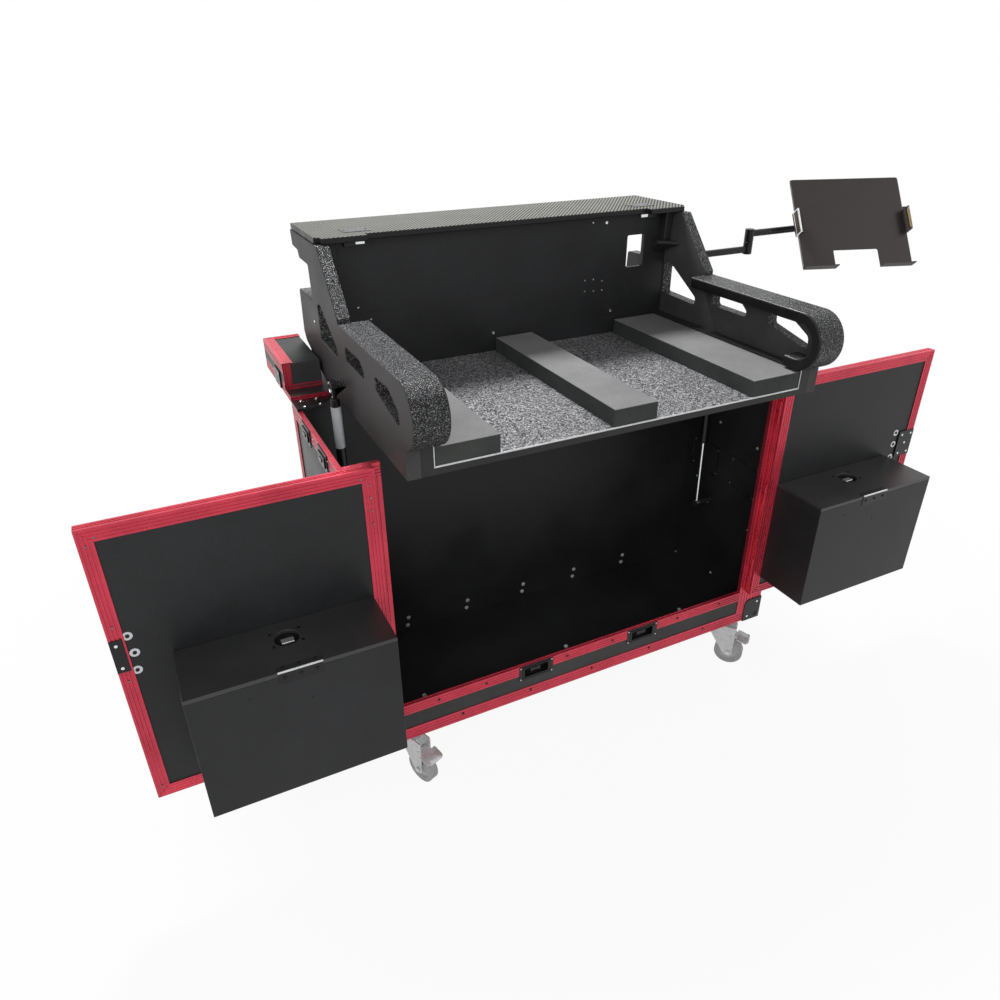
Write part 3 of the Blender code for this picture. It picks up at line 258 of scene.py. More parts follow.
finishes = {
    "laminate": {"dark": (0.021, 0.0215, 0.023), "light": (0.034, 0.035, 0.037), "scales": (5, 900),
                 "grain": (0.75, 1.2), "rough": (0.34, 0.50), "shine": 0.22, "relief": (0.25, 0.0003)},
    "greyPanel": {"dark": (0.022, 0.021, 0.021), "light": (0.036, 0.035, 0.034), "scales": (7, 420),
                  "grain": (0.85, 1.15), "rough": (0.38, 0.54), "shine": 0.25, "relief": (0.35, 0.0004)},
    # A three times lighter copy of the grey panel paint, for the side panels and the sill board: painted light.
    "panelGreyWithPaintedLight": {"dark": (0.066, 0.065, 0.065), "light": (0.100, 0.098, 0.098), "scales": (7, 420),
                  "grain": (0.85, 1.15), "rough": (0.38, 0.54), "shine": 0.10, "relief": (0.35, 0.0004)},
    # Lid laminate: a lighter, glossier copy of the laminate, its lighter colour a painted sheen on the lids'
    # tops.
    "laminateWithPaintedSheen": {"dark": (0.030, 0.031, 0.033), "light": (0.046, 0.047, 0.049), "scales": (5, 900),
               "grain": (0.75, 1.2), "rough": (0.30, 0.44), "shine": 0.5, "relief": (0.25, 0.0003)},
    "redRail": {"dark": (0.53, 0.034, 0.064), "light": (0.72, 0.056, 0.098), "scales": (12, 260),
                "grain": ((0.92, 0.90, 0.90), 1.06), "rough": (0.22, 0.34), "metallic": 0.5,
                "relief": (0.12, 0.0002)},
    "foam": {"dark": (0.205, 0.203, 0.204), "light": (0.275, 0.272, 0.273), "scales": (7, 700),
             "grain": (0.82, 1.15), "rough": (0.78, 0.92), "shine": 0.1, "relief": (0.5, 0.0006)},
    # Dark foam of the rear cover's ends; on the pads' sides the same colour is painted shade.
    "coverFoam": {"dark": (0.050, 0.056, 0.053), "light": (0.085, 0.090, 0.086), "scales": (9, 700),
                  "grain": (0.85, 1.15), "rough": (0.70, 0.86), "shine": 0.1, "relief": (0.5, 0.0006)},
    "zinc": {"dark": (0.56, 0.57, 0.58), "light": (0.70, 0.71, 0.72), "scales": (70, 500),
             "grain": (0.8, 1.05), "rough": (0.24, 0.38), "metallic": 0.75, "relief": (0.15, 0.0002)},
    "paleZinc": {"dark": (0.72, 0.73, 0.74), "light": (0.88, 0.89, 0.90), "scales": (90, 600),
                 "grain": (0.85, 1.08), "rough": (0.26, 0.40), "metallic": 0.2, "relief": (0.2, 0.0002)},
    "dullZinc": {"dark": (0.11, 0.11, 0.12), "light": (0.22, 0.22, 0.23), "scales": (70, 600),
                 "grain": (0.85, 1.1), "rough": (0.28, 0.42), "metallic": 1.0, "relief": (0.2, 0.0002)},
    "wheelGrey": {"dark": (0.50, 0.50, 0.505), "light": (0.62, 0.62, 0.625), "scales": (40, 600),
                  "grain": (0.9, 1.1), "rough": (0.45, 0.60), "shine": 0.35, "relief": (0.3, 0.0003)},
    "hubGrey": {"dark": (0.60, 0.60, 0.605), "light": (0.72, 0.72, 0.725), "scales": (60, 600),
                "grain": (0.85, 1.08), "rough": (0.36, 0.50), "relief": (0.2, 0.0002)},
    "blackSteel": {"dark": (0.008, 0.008, 0.009), "light": (0.015, 0.015, 0.016), "scales": (30, 800),
                   "grain": (0.8, 1.2), "rough": (0.22, 0.36), "metallic": 0.2, "shine": 0.35,
                   "relief": (0.3, 0.0003)},
    "blackPlastic": {"dark": (0.008, 0.008, 0.009), "light": (0.014, 0.014, 0.015), "scales": (20, 1100),
                     "grain": (0.85, 1.15), "rough": (0.32, 0.46), "shine": 0.25, "relief": (0.25, 0.0002)},
    "tabletBlack": {"dark": (0.026, 0.021, 0.019), "light": (0.036, 0.029, 0.027), "scales": (8, 1100),
                    "grain": (0.9, 1.1), "rough": (0.36, 0.46), "shine": 0.25, "relief": (0.1, 0.0001)},
    "brightSteel": {"dark": (0.66, 0.67, 0.69), "light": (0.84, 0.85, 0.86), "scales": (90, 900),
                    "grain": (0.88, 1.04), "rough": (0.12, 0.22), "metallic": 1.0, "relief": (0.1, 0.0001)},
    "blankLabel": {"dark": (0.60, 0.64, 0.67), "light": (0.72, 0.75, 0.77), "scales": (25, 800),
                   "grain": (0.95, 1.03), "rough": (0.36, 0.50), "shine": 0.4, "relief": (0.1, 0.0001)},
    "clipPad": {"dark": (0.28, 0.20, 0.06), "light": (0.38, 0.28, 0.10), "scales": (90, 900),
                "grain": (0.9, 1.1), "rough": (0.55, 0.70), "relief": (0.3, 0.0002)},
}
looks = {look: mottledMaterial(look, values) for look, values in finishes.items()}


# Rough coating: round grains, the brightest clumps given a light colour: painted glints that stand in for
# highlights.
def roughMaterial(name, values):
    material, tree, shader, coords = startMaterial(name, values["rough"][0])
    cells = tree.nodes.new("ShaderNodeTexVoronoi")
    cells.inputs["Scale"].default_value = values["grains"]
    tree.links.new(coords, cells.inputs["Vector"])
    clumps = addNoise(tree, coords, values["clumps"], 6, 0.7)
    turns = values["turns"]
    shades = [(0.38, values["dark"]), (turns[0], values["mid"]), (turns[1], values["light"])]
    colorWithPaintedGlints = addRamp(tree, clumps, shades)
    tree.links.new(colorWithPaintedGlints, shader.inputs["Base Color"])
    tree.links.new(addRange(tree, clumps, *values["rough"]), shader.inputs["Roughness"])
    tree.links.new(addRange(tree, clumps, *values["shine"], *turns), shader.inputs["Specular IOR Level"])
    first = addBump(tree, shader, cells.outputs["Distance"], values["relief"], -values["grainDepth"])
    addBump(tree, shader, clumps, values["relief"], values["clumpDepth"], first)
    return material


roughCoats = {
    # Each coat's light colour on the clumps' tips is a painted glint.
    "roughFloor": {"grains": 420, "clumps": 290, "dark": (0.012, 0.012, 0.013), "mid": (0.085, 0.085, 0.090),
                   "light": (0.62, 0.62, 0.64), "turns": (0.49, 0.60), "rough": (0.24, 0.40),
                   "shine": (0.15, 1.0), "relief": 0.8, "grainDepth": 0.0012, "clumpDepth": 0.0020},
    "roughEdge": {"grains": 460, "clumps": 400, "dark": (0.006, 0.006, 0.007), "mid": (0.020, 0.020, 0.022),
                  "light": (0.32, 0.33, 0.34), "turns": (0.52, 0.63), "rough": (0.20, 0.34),
                  "shine": (0.15, 1.0), "relief": 0.9, "grainDepth": 0.0012, "clumpDepth": 0.0022},
}
looks.update({look: roughMaterial(look, values) for look, values in roughCoats.items()})


# Lid board with raised slanting ribs, their crests painted light and their hollows painted dark: painted
# highlight and painted shade over the ribs' relief.
def treadMaterial(name, values):
    material, tree, shader, coords = startMaterial(name, values["rough"][0], 0, values["shine"])
    mapping = tree.nodes.new("ShaderNodeMapping")
    mapping.inputs["Rotation"].default_value = (0, 0, values["slant"])
    tree.links.new(coords, mapping.inputs["Vector"])
    ribs = tree.nodes.new("ShaderNodeTexWave")
    ribs.inputs["Scale"].default_value = values["ribs"]
    ribs.inputs["Distortion"].default_value = values["waver"]
    tree.links.new(mapping.outputs["Vector"], ribs.inputs["Vector"])
    broad = addNoise(tree, coords, 8, 5, 0.6)
    # The ribs' colour runs from dark in the hollows to light on the crests: painted shade and painted
    # highlight.
    color = addRamp(tree, ribs.outputs["Fac"], [(0.15, values["dark"]), (0.85, values["light"])])
    tree.links.new(color, shader.inputs["Base Color"])
    tree.links.new(addRange(tree, broad, *values["rough"]), shader.inputs["Roughness"])
    addBump(tree, shader, ribs.outputs["Fac"], *values["relief"])
    return material


looks["tread"] = treadMaterial("tread", {
    "rough": (0.40, 0.55), "slant": math.radians(38), "ribs": 38, "waver": 0.4, "dark": (0.024, 0.025, 0.021),
    "light": (0.200, 0.202, 0.186), "relief": (0.6, 0.0006), "shine": 0.05,
})
print("materials made:", len(looks))

casterPlaces = ("left_front", "right_front", "left_rear", "right_rear")

# CAD nodes that are shown as they are.
keptNodes = {
    "laminate": ["base_floor", "left_wall", "right_wall", "back_wall",
                 "left_door_panel", "right_door_panel", "back_panel"],
    # The sill board gets the lighter grey panel paint: painted light.
    "panelGreyWithPaintedLight": ["sill_board"],
    "blackSteel": ["pivot_bracket_left", "pivot_bracket_right", "spring_tube_left",
                   "spring_tube_right", "tablet_bracket", "tablet_lower_arm",
                   "tablet_upper_arm", "tablet_tilt_head"],
    "brightSteel": ["spring_rod_left", "spring_rod_right"],
    "zinc": ["caster_plate_" + place for place in casterPlaces],
}
for look, nodes in keptNodes.items():
    for node in nodes:
        frame["nodes"][node].data.materials.clear()
        frame["nodes"][node].data.materials.append(looks[look])
print("CAD nodes dressed:", sum(len(nodes) for nodes in keptNodes.values()))


# Grooved red rails.

railValues = {"wall": 0.002, "depth": 0.0014, "halfGroove": 0.0016, "edge": 0.0003, "near": 0.0001}


# A plate with grooves along its length in the face that looks outward.
def groovedPlate(low, high, outward, grooves=3, mitre=None):
    outward = Vector(outward)
    plate = addBlock("plate", low, high)
    spans = [abs(b - a) for a, b in zip(low, high)]
    thin = max(range(3), key=lambda axis: abs(outward[axis]))
    run, width = sorted((axis for axis in range(3) if axis != thin), key=lambda axis: -spans[axis])
    start, half = min(low[width], high[width]), railValues["halfGroove"]
    middles = [start + spans[width] * (number + 1) / (grooves + 1) for number in range(grooves)]
    pick(plate, "EDGE", lambda edge: abs(edge.verts[0].co[width] - edge.verts[1].co[width]) > spans[width] / 2)
    bpy.ops.mesh.subdivide(number_cuts=2 * grooves)
    for corner in bmesh.from_edit_mesh(plate.data).verts:
        step = round((corner.co[width] - start) / spans[width] * (2 * grooves + 1))
        if 0 < step <= 2 * grooves:
            corner.co[width] = middles[(step - 1) // 2] + (-half if step % 2 else half)
    pick(plate, "FACE", lambda face: face.normal.dot(outward) > 0.9 and any(
        abs(face.calc_center_median()[width] - middle) < half for middle in middles))
    inward = tuple(-outward * railValues["depth"])
    bpy.ops.mesh.extrude_region_move(TRANSFORM_OT_translate={"value": inward})
    leaveEdit()
    if mitre is not None:  # both ends are cut at 45 degrees from the outer edge
        first, last = min(low[run], high[run]), max(low[run], high[run])
        for corner in plate.data.vertices:
            away = abs(corner.co[width] - mitre)
            if abs(corner.co[run] - first) < railValues["near"]:
                corner.co[run] += away
            elif abs(corner.co[run] - last) < railValues["near"]:
                corner.co[run] -= away
    return soften(plate, railValues["edge"], 1)


# Hinge barrels, each with a leaf that runs to the point leafTo.
knuckle = {"x": 0.5405, "y": -0.2115, "length": 0.030, "radius": 0.0021, "leaf": 0.0008}


def addKnuckles(side, feet, leafTo):
    x, y = side * knuckle["x"], knuckle["y"]
    thin = 0 if leafTo[0] == x else 1
    pieces = []
    for foot in feet:
        top = foot + knuckle["length"]
        pieces.append(addRod("knuckle", (x, y, foot), (x, y, top), knuckle["radius"], 16))
        low = [min(x, leafTo[0]), min(y, leafTo[1]), foot]
        high = [max(x, leafTo[0]), max(y, leafTo[1]), top]
        low[thin] -= knuckle["leaf"]
        high[thin] += knuckle["leaf"]
        pieces.append(addBlock("leaf", low, high))
    return pieces


caseSize = {"x": 0.612, "y": 0.2, "top": 0.7717, "railFoot": -0.0023, "railHead": 0.0324,
            "railFace": 0.030, "lip": 0.0115, "postInner": 0.524, "sill": 0.109}
knuckleFeet = {"post": (0.1699, 0.4105, 0.6511), "door": (0.2002, 0.4408, 0.6814)}


def caseRails():
    s, wall = caseSize, railValues["wall"]
    x, y, lip = s["x"], s["y"], s["lip"]
    base, top = [], []
    for end in (-1, 1):
        outer, inner = end * y, end * (y - wall)
        base.append(groovedPlate((-x, outer, s["railFoot"]), (x, inner, s["railHead"]), (0, end, 0)))
        base.append(addBlock("lip", (-x + wall, inner, s["railFoot"]),
                             (x - wall, end * (y - lip), s["railFoot"] + wall)))
        outer, inner = end * x, end * (x - wall)
        base.append(groovedPlate((outer, -y + wall, s["railFoot"]),
                                 (inner, y - wall, s["railHead"]), (end, 0, 0)))
        base.append(addBlock("lip", (inner, -y + lip, s["railFoot"]),
                             (end * (x - lip), y - lip, s["railFoot"] + wall)))
        low = s["top"] - s["railFace"]
        top.append(groovedPlate((outer, -y + wall, low), (inner, y - wall, s["top"]), (end, 0, 0)))
        top.append(groovedPlate((inner, -y + wall, s["top"] - wall),
                                (end * (x - lip), y - wall, s["top"]), (0, 0, 1), 1))
        top.append(groovedPlate((end * s["postInner"], -y, low), (end * x, -y + wall, s["top"]), (0, -1, 0)))
        top.append(addBlock("lip", (end * s["postInner"], -y + wall, s["top"] - wall),
                            (end * (x - lip), -y + lip, s["top"])))
    low = s["top"] - s["railFace"]
    top.append(groovedPlate((-x, y, low), (x, y - wall, s["top"]), (0, 1, 0)))
    top.append(groovedPlate((-x + lip, y - wall, s["top"] - wall), (x - lip, y - lip, s["top"]), (0, 0, 1), 1))
    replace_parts(dress(joinPieces("baseRails", base), "redRail", "case"), "base_frame")
    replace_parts(dress(joinPieces("topRails", top), "redRail", "case"), "top_frame")

    sill, edges = [], (-s["postInner"] + 0.0003, -0.2063, -0.1057, 0.1287, 0.2293, s["postInner"] - 0.0003)
    foot = s["sill"] - s["railFace"]
    for start, end in (edges[0:2], edges[2:4], edges[4:6]):
        sill.append(groovedPlate((start, -y, foot), (end, -y + wall, s["sill"]), (0, -1, 0)))
    sill.append(groovedPlate((edges[0], -y + wall, s["sill"] - wall), (edges[-1], -y + 0.012, s["sill"]),
                             (0, 0, 1), 1))
    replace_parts(dress(joinPieces("sillRails", sill), "redRail", "case"), "sill_rail")

    for hand, side in handSigns.items():
        foot, head = s["railHead"] + 0.0003, s["top"] - s["railFace"] - 0.0003
        inner = side * s["postInner"]
        post = [
            groovedPlate((inner, -y, foot), (side * x, -y + wall, head), (0, -1, 0), 7),
            groovedPlate((side * x, -y + wall, foot), (side * (x - wall), -y + 0.030, head), (side, 0, 0)),
            addBlock("jamb", (inner, -y + wall, s["sill"] + 0.0003), (inner + side * wall, -y + 0.012, head)),
        ]
        post += addKnuckles(side, knuckleFeet["post"], (side * knuckle["x"], -y + wall / 2))
        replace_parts(dress(joinPieces(hand + "FrontPost", post), "redRail", "case"), hand + "_front_post")
        post = [
            groovedPlate((side * (x - 0.030), y, foot), (side * x, y - wall, head), (0, 1, 0)),
            groovedPlate((side * x, y - wall, foot), (side * (x - wall), y - 0.030, head), (side, 0, 0)),
        ]
        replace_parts(dress(joinPieces(hand + "RearPost", post), "redRail", "case"), hand + "_rear_post")


doorSize = {"near": 0.543, "far": 1.080, "foot": 0.1099, "face": 0.028, "front": -0.2225, "back": -0.2005}


def doorRails(hand, side):
    s, wall = doorSize, railValues["wall"]
    near, far, foot, head = side * s["near"], side * s["far"], s["foot"], caseSize["top"]
    inX, inZ = side * s["face"], s["face"]
    pieces = []
    for skin, inner, outward in ((s["front"], s["front"] + wall, -1), (s["back"], s["back"] - wall, 1)):
        facing = (0, outward, 0)
        pieces += [
            groovedPlate((near, skin, head - inZ), (far, inner, head), facing, 3, head),
            groovedPlate((near, skin, foot), (far, inner, foot + inZ), facing, 3, foot),
            groovedPlate((near, skin, foot), (near + inX, inner, head), facing, 3, near),
            groovedPlate((far - inX, skin, foot), (far, inner, head), facing, 3, far),
        ]
    low, high = s["front"] + wall, s["back"] - wall
    pieces += [
        groovedPlate((near, low, head - wall), (far, high, head), (0, 0, 1), 2),
        groovedPlate((near, low, foot), (far, high, foot + wall), (0, 0, -1), 2),
        groovedPlate((near, low, foot + wall), (near + side * wall, high, head - wall), (-side, 0, 0), 2),
        groovedPlate((far - side * wall, low, foot + wall), (far, high, head - wall), (side, 0, 0), 2),
    ]
    pieces += addKnuckles(side, knuckleFeet["door"], (near + side * wall / 2, knuckle["y"]))
    piece = dress(joinPieces(hand + "DoorRails", pieces), "redRail", hand + "_door")
    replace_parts(piece, hand + "_door_frame")


caseRails()
for hand, side in handSigns.items():
    doorRails(hand, side)
print("red rails made")


# Studs, screws and bolts.

rivet = {"radius": 0.0034, "height": 0.0013, "sides": 14}
screw = {"radius": 0.0040, "height": 0.0016, "sides": 16, "socket": True}
bolt = {"radius": 0.0062, "height": 0.0040, "sides": 18, "socket": True}
washer = {"radius": 0.0095, "height": 0.0012, "sides": 24}
smallWasher = {"radius": 0.0062, "height": 0.0014, "sides": 18}
pin = {"radius": 0.0022, "height": 0.0009, "sides": 12}
flatPin = {"radius": 0.0022, "height": 0.0004, "sides": 12}
axleNut = {"radius": 0.0075, "height": 0.0035, "sides": 6}
pivotNut = {"radius": 0.0085, "height": 0.0050, "sides": 6}


def addStuds(name, places, outward, look, body, size):
    deselect()
    height = size["height"]
    bpy.ops.mesh.primitive_cylinder_add(vertices=size["sides"], radius=size["radius"], depth=2 * height)
    model = bpy.context.active_object
    if size.get("socket"):
        pick(model, "FACE", lambda face: face.normal.z > 0.9)
        bpy.ops.mesh.inset(thickness=size["radius"] * 0.5)
        bpy.ops.mesh.extrude_region_move(TRANSFORM_OT_translate={"value": (0, 0, -height * 0.8)})
        leaveEdit()
    soften(model, height * 0.35, 2)
    turn = Vector((0, 0, 1)).rotation_difference(Vector(outward)).to_matrix().to_4x4()
    copies = []
    for place in places:
        one = bpy.data.objects.new(name, model.data.copy())
        bpy.context.scene.collection.objects.link(one)
        one.data.transform(Matrix.Translation(place) @ turn)
        copies.append(one)
    bpy.data.objects.remove(model, do_unlink=True)
    return dress(joinPieces(name, copies), look, body)


doorRivets = [(0.572, 0.752), (0.559, 0.737), (0.556, 0.708), (0.556, 0.678), (0.556, 0.647),
              (1.050, 0.752), (1.067, 0.737), (1.066, 0.560), (1.066, 0.430), (0.556, 0.400),
              (0.556, 0.240), (0.559, 0.140), (0.572, 0.124), (1.067, 0.140), (1.050, 0.124)]
railRivets = {"base": (-0.368, -0.172, 0.018, 0.209, 0.400), "sill": (-0.43, -0.30, -0.062, 0.081, 0.30, 0.45),
              "back": (-0.45, -0.15, 0.15, 0.45), "side": (-0.12, 0, 0.12),
              "post": (0.10, 0.25, 0.40, 0.55, 0.70)}
rivetRows = {"base": 0.0205, "sill": 0.094, "top": 0.7567, "sidePost": 0.185, "backPost": 0.597}


def addRivets():
    caseX, caseY = caseSize["x"], caseSize["y"]
    for hand, side in handSigns.items():
        body = hand + "_door"
        addStuds(hand + "DoorRivets", [(side * x, doorSize["front"], z) for x, z in doorRivets],
                 (0, -1, 0), "dullZinc", body, flatPin)
        addStuds(hand + "DoorRearRivets", [(side * x, doorSize["back"], z) for x, z in doorRivets
                                           if x > 0.6], (0, 1, 0), "brightSteel", body, pin)
    for name, row, end in (("baseRailRivets", "base", -1), ("baseRailRearRivets", "base", 1),
                           ("sillRailRivets", "sill", -1)):
        addStuds(name, [(x, end * caseY, rivetRows[row]) for x in railRivets[row]],
                 (0, end, 0), "blackSteel", "case", rivet)
    for hand, side in handSigns.items():
        places = [(side * caseX, y, rivetRows[row]) for y in railRivets["side"] for row in ("base", "top")]
        places += [(side * caseX, end * rivetRows["sidePost"], z)
                   for end in (-1, 1) for z in railRivets["post"]]
        addStuds(hand + "SideRivets", places, (side, 0, 0), "brightSteel", "case", pin)
    places = [(side * rivetRows["backPost"], caseY, z) for side in (-1, 1) for z in railRivets["post"]]
    places += [(x, caseY, rivetRows["top"]) for x in railRivets["back"]]
    addStuds("rearRivets", places, (0, 1, 0), "brightSteel", "case", pin)


addRivets()
print("rivets made")


# Ball corners.

ballCorner = {"reach": 0.060, "up": 0.074, "sheet": 0.0025, "sink": 0.0008, "round": 0.018, "ball": 0.017,
              "centre": 0.62, "edge": 0.0012, "rivets": ((0.046, 0.014), (0.015, 0.060))}


def addCorner(name, side, end):
    s = ballCorner
    x, y, z = side * caseSize["x"], end * caseSize["y"], caseSize["railFoot"]
    skin, sink, reach = s["sheet"], s["sink"], s["reach"]
    start = (x + side * skin, y + end * skin, z - skin)
    pieces = [addBlock("face", start, far) for far in (
        (x - side * reach, y - end * sink, z + s["up"]),
        (x - side * sink, y - end * reach, z + s["up"]),
        (x - side * reach, y - end * reach, z + sink))]

    def isFar(edge, thin):
        a, b = (corner.co for corner in edge.verts)
        middle = (a + b) / 2
        far = [abs(middle.x - x) > reach * 0.9, abs(middle.y - y) > reach * 0.9,
               thin != 2 and abs(middle.z - z) > s["up"] * 0.9]
        return abs(a[thin] - b[thin]) > skin * 0.9 and sum(far) >= 2

    for thin, piece in zip((1, 0, 2), pieces):
        pick(piece, "EDGE", lambda edge: isFar(edge, thin))
        bpy.ops.mesh.bevel(offset=s["round"], segments=5, affect="EDGES")
        leaveEdit()
    inset = s["ball"] * s["centre"]
    deselect()
    bpy.ops.mesh.primitive_uv_sphere_add(segments=24, ring_count=14, radius=s["ball"],
                                         location=(x - side * inset, y - end * inset, z + inset))
    ball = bpy.context.active_object
    bpy.ops.object.transform_apply(location=True, rotation=True, scale=True)
    pieces = [soften(piece, s["edge"], 2) for piece in pieces]
    corner = dress(joinPieces(name, pieces + [ball]), "blackSteel", "case")
    for face in corner.data.polygons:
        face.use_smooth = True
    activate(corner)
    bpy.ops.object.shade_smooth_by_angle(angle=math.radians(35))
    addStuds(name + "FrontRivets", [(x - side * away, y + end * skin, z + up) for away, up in s["rivets"]],
             (0, end, 0), "brightSteel", "case", rivet)
    addStuds(name + "SideRivets", [(x + side * skin, y - end * away, z + up) for away, up in s["rivets"]],
             (side, 0, 0), "brightSteel", "case", rivet)


for hand, side in handSigns.items():
    addCorner(hand + "FrontCorner", side, -1)
    addCorner(hand + "RearCorner", side, 1)
print("corners made")


# Storage boxes on the doors.

boxValues = {"edge": 0.0012, "hole": (0.770, -0.277), "top": 0.4699, "front": -0.3762,
             "marks": ((-0.100, 0.429), (0.013, 0.389))}
# The hinge's leaves are given by their two ends, down from the lid and back from the front.
boxHinge = {"x": 0.765, "half": 0.0435, "leaf": 0.0012, "edge": 0.0005, "down": (0.028, 0.002),
            "back": (0.001, 0.016), "pin": 0.0024, "pinEdge": 0.0006, "screws": (-0.031, 0, 0.031),
            "screwDown": 0.0145, "screwBack": 0.0135}
boxCatch = {"radius": 0.030, "foot": 0.013, "head": 0.0092, "edge": 0.0008, "low": (-0.012, -0.010),
            "high": (0.014, 0.006), "top": 0.0045, "catchEdge": 0.002,
            "screws": [(dx, dy) for dx in (-0.029, 0.029) for dy in (-0.020, 0.022)]}


def storageBox(hand, side):
    s = boxValues
    door, lid = hand + "_door", hand + "_lid"
    dress(refinedCopy(hand + "_storage_box", hand + "BoxBody", s["edge"]), "laminate", door)
    # The lid gets the lighter laminate copy: painted sheen on its top.
    dress(refinedCopy(hand + "_box_lid", hand + "BoxLid", s["edge"]), "laminateWithPaintedSheen", lid)
    h, top, front = boxHinge, s["top"], s["front"]
    x = side * h["x"]
    low, high, (foot, head), (near, far) = x - h["half"], x + h["half"], h["down"], h["back"]
    addPart(hand + "BoxHingeFront", (low, front - h["leaf"], top - foot), (high, front, top - head),
            h["edge"], "blackSteel", door)
    addPart(hand + "BoxHingeTop", (low, front + near, top), (high, front + far, top + h["leaf"]),
            h["edge"], "laminate", lid)
    rod = addRod(hand + "BoxHingePin", (low, front, top), (high, front, top), h["pin"], 20)
    dress(soften(rod, h["pinEdge"]), "zinc", door)
    screws = [(x + step, front - h["leaf"], top - h["screwDown"]) for step in h["screws"]]
    addStuds(hand + "BoxHingeScrews", screws, (0, -1, 0), "blackSteel", door, screw)
    c, holeX, holeY = boxCatch, side * s["hole"][0], s["hole"][1]
    screws = [(x + step, front + h["screwBack"], top) for step in h["screws"]]
    screws += [(holeX + dx, holeY + dy, top) for dx, dy in c["screws"]]
    addStuds(hand + "BoxLidScrews", screws, (0, 0, 1), "blackSteel", lid, rivet)
    marks = [(x + dx, front, z) for dx, z in s["marks"]]
    addStuds(hand + "BoxFrontMarks", marks, (0, -1, 0), "blackSteel", door, pin)
    cup = addRod(hand + "BoxCatchCup", (holeX, holeY, top - c["foot"]), (holeX, holeY, top - c["head"]),
                 c["radius"], 32)
    dress(soften(cup, c["edge"]), "blackSteel", lid)
    addPart(hand + "BoxCatch", (holeX + c["low"][0], holeY + c["low"][1], top - c["head"]),
            (holeX + c["high"][0], holeY + c["high"][1], top - c["top"]), c["catchEdge"], "zinc", lid, 3)


for hand, side in handSigns.items():
    storageBox(hand, side)

# Lock plates on the doors' free edges.
lockPlates = {
    "left": {"x": (-1.0800, -1.0560), "z": (0.455, 0.531), "studs": [(-1.069, 0.519), (-1.069, 0.466)],
             "bolts": [(-1.046, 0.533), (-1.042, 0.492), (-1.046, 0.451)]},
    "right": {"x": (1.022, 1.0800), "z": (0.455, 0.535),
              "studs": [(1.033, 0.524), (1.068, 0.524), (1.033, 0.466), (1.068, 0.466), (1.050, 0.497)],
              "bolts": [(1.008, 0.534), (1.008, 0.498), (1.008, 0.457)]},
}
lockDepths = {"face": -0.0016, "rear": 0.001, "panel": 0.0023, "washer": 0.001, "edge": 0.0007}
for hand, values in lockPlates.items():
    body, skin, s = hand + "_door", doorSize["front"], lockDepths
    (low, high), (foot, head) = values["x"], values["z"]
    face, panel = skin + s["face"], skin + s["panel"]
    addPart(hand + "LockPlate", (low, face, foot), (high, skin + s["rear"], head), s["edge"], "blackSteel",
            body)
    for name, places, y, look, size in (
            ("LockStuds", values["studs"], face, "brightSteel", rivet),
            ("LockWashers", values["bolts"], panel, "zinc", washer),
            ("LockBolts", values["bolts"], panel - s["washer"], "blackSteel", screw)):
        addStuds(hand + name, [(x, y, z) for x, z in places], (0, -1, 0), look, body, size)
print("doors dressed")


# Sill latches.

latchValues = {"x": {"left": -0.156, "right": 0.179}, "z": 0.0842, "skin": -0.2, "edge": 0.0007,
               "barEdge": 0.0008, "sink": 0.0004,
               "rivets": [(dx, dz) for dx in (-0.046, 0.046) for dz in (-0.019, 0.018)]}
# Left, right, low, high and depth of the four bars in a latch dish.
latchBars = ((-0.036, 0.036, 0.0135, 0.0165, 0.004), (-0.036, 0.036, -0.0165, -0.0135, 0.004),
             (-0.0395, -0.0345, -0.0165, 0.0165, 0.006), (0.0345, 0.0395, -0.0165, 0.0165, 0.006))
for hand, x in latchValues["x"].items():
    s = latchValues
    skin, z = s["skin"], s["z"]
    dish = refinedCopy("sill_latch_" + hand, "sillLatchDish" + hand.capitalize(), s["edge"])
    dress(dish, "blackSteel", "case")
    wing = refinedCopy("sill_wing_" + hand, "sillLatchWing" + hand.capitalize(), s["edge"])
    dress(wing, "blackSteel", "latch_wing_" + hand)
    bars = [addBlock("bar", (x + left, skin - s["sink"], z + low), (x + right, skin + deep, z + high))
            for left, right, low, high, deep in latchBars]
    bars = [soften(piece, s["barEdge"]) for piece in bars]
    dress(joinPieces(hand + "SillLatchHook", bars), "blackSteel", "case")
    addStuds(hand + "SillLatchRivets", [(x + dx, skin, z + dz) for dx, dz in s["rivets"]], (0, -1, 0), "zinc",
             "case", pin)
print("latches made")


# Castors.

# Both flat ends of a drum are inset and pushed in turn.
def pushCaps(piece, steps):
    for way in (-1, 1):
        pick(piece, "FACE", lambda face: face.normal.z * way > 0.95 and len(face.verts) > 8)
        for thickness, push in steps:
            bpy.ops.mesh.inset(thickness=thickness)
            if push:
                bpy.ops.mesh.extrude_region_move(TRANSFORM_OT_translate={"value": (0, 0, way * push)})
    leaveEdit()


forkValues = {"edge": 0.0008, "nut": 0.0195}
wheelValues = {"width": 0.026, "fill": 0.92, "sides": 56, "edge": 0.0022, "angle": 50, "tyre": 0.0100,
               "steps": [(0.0105, 0), (0.0012, -0.0046), (0.0125, 0), (0.0010, 0.0042), (0.0060, 0.0008)]}


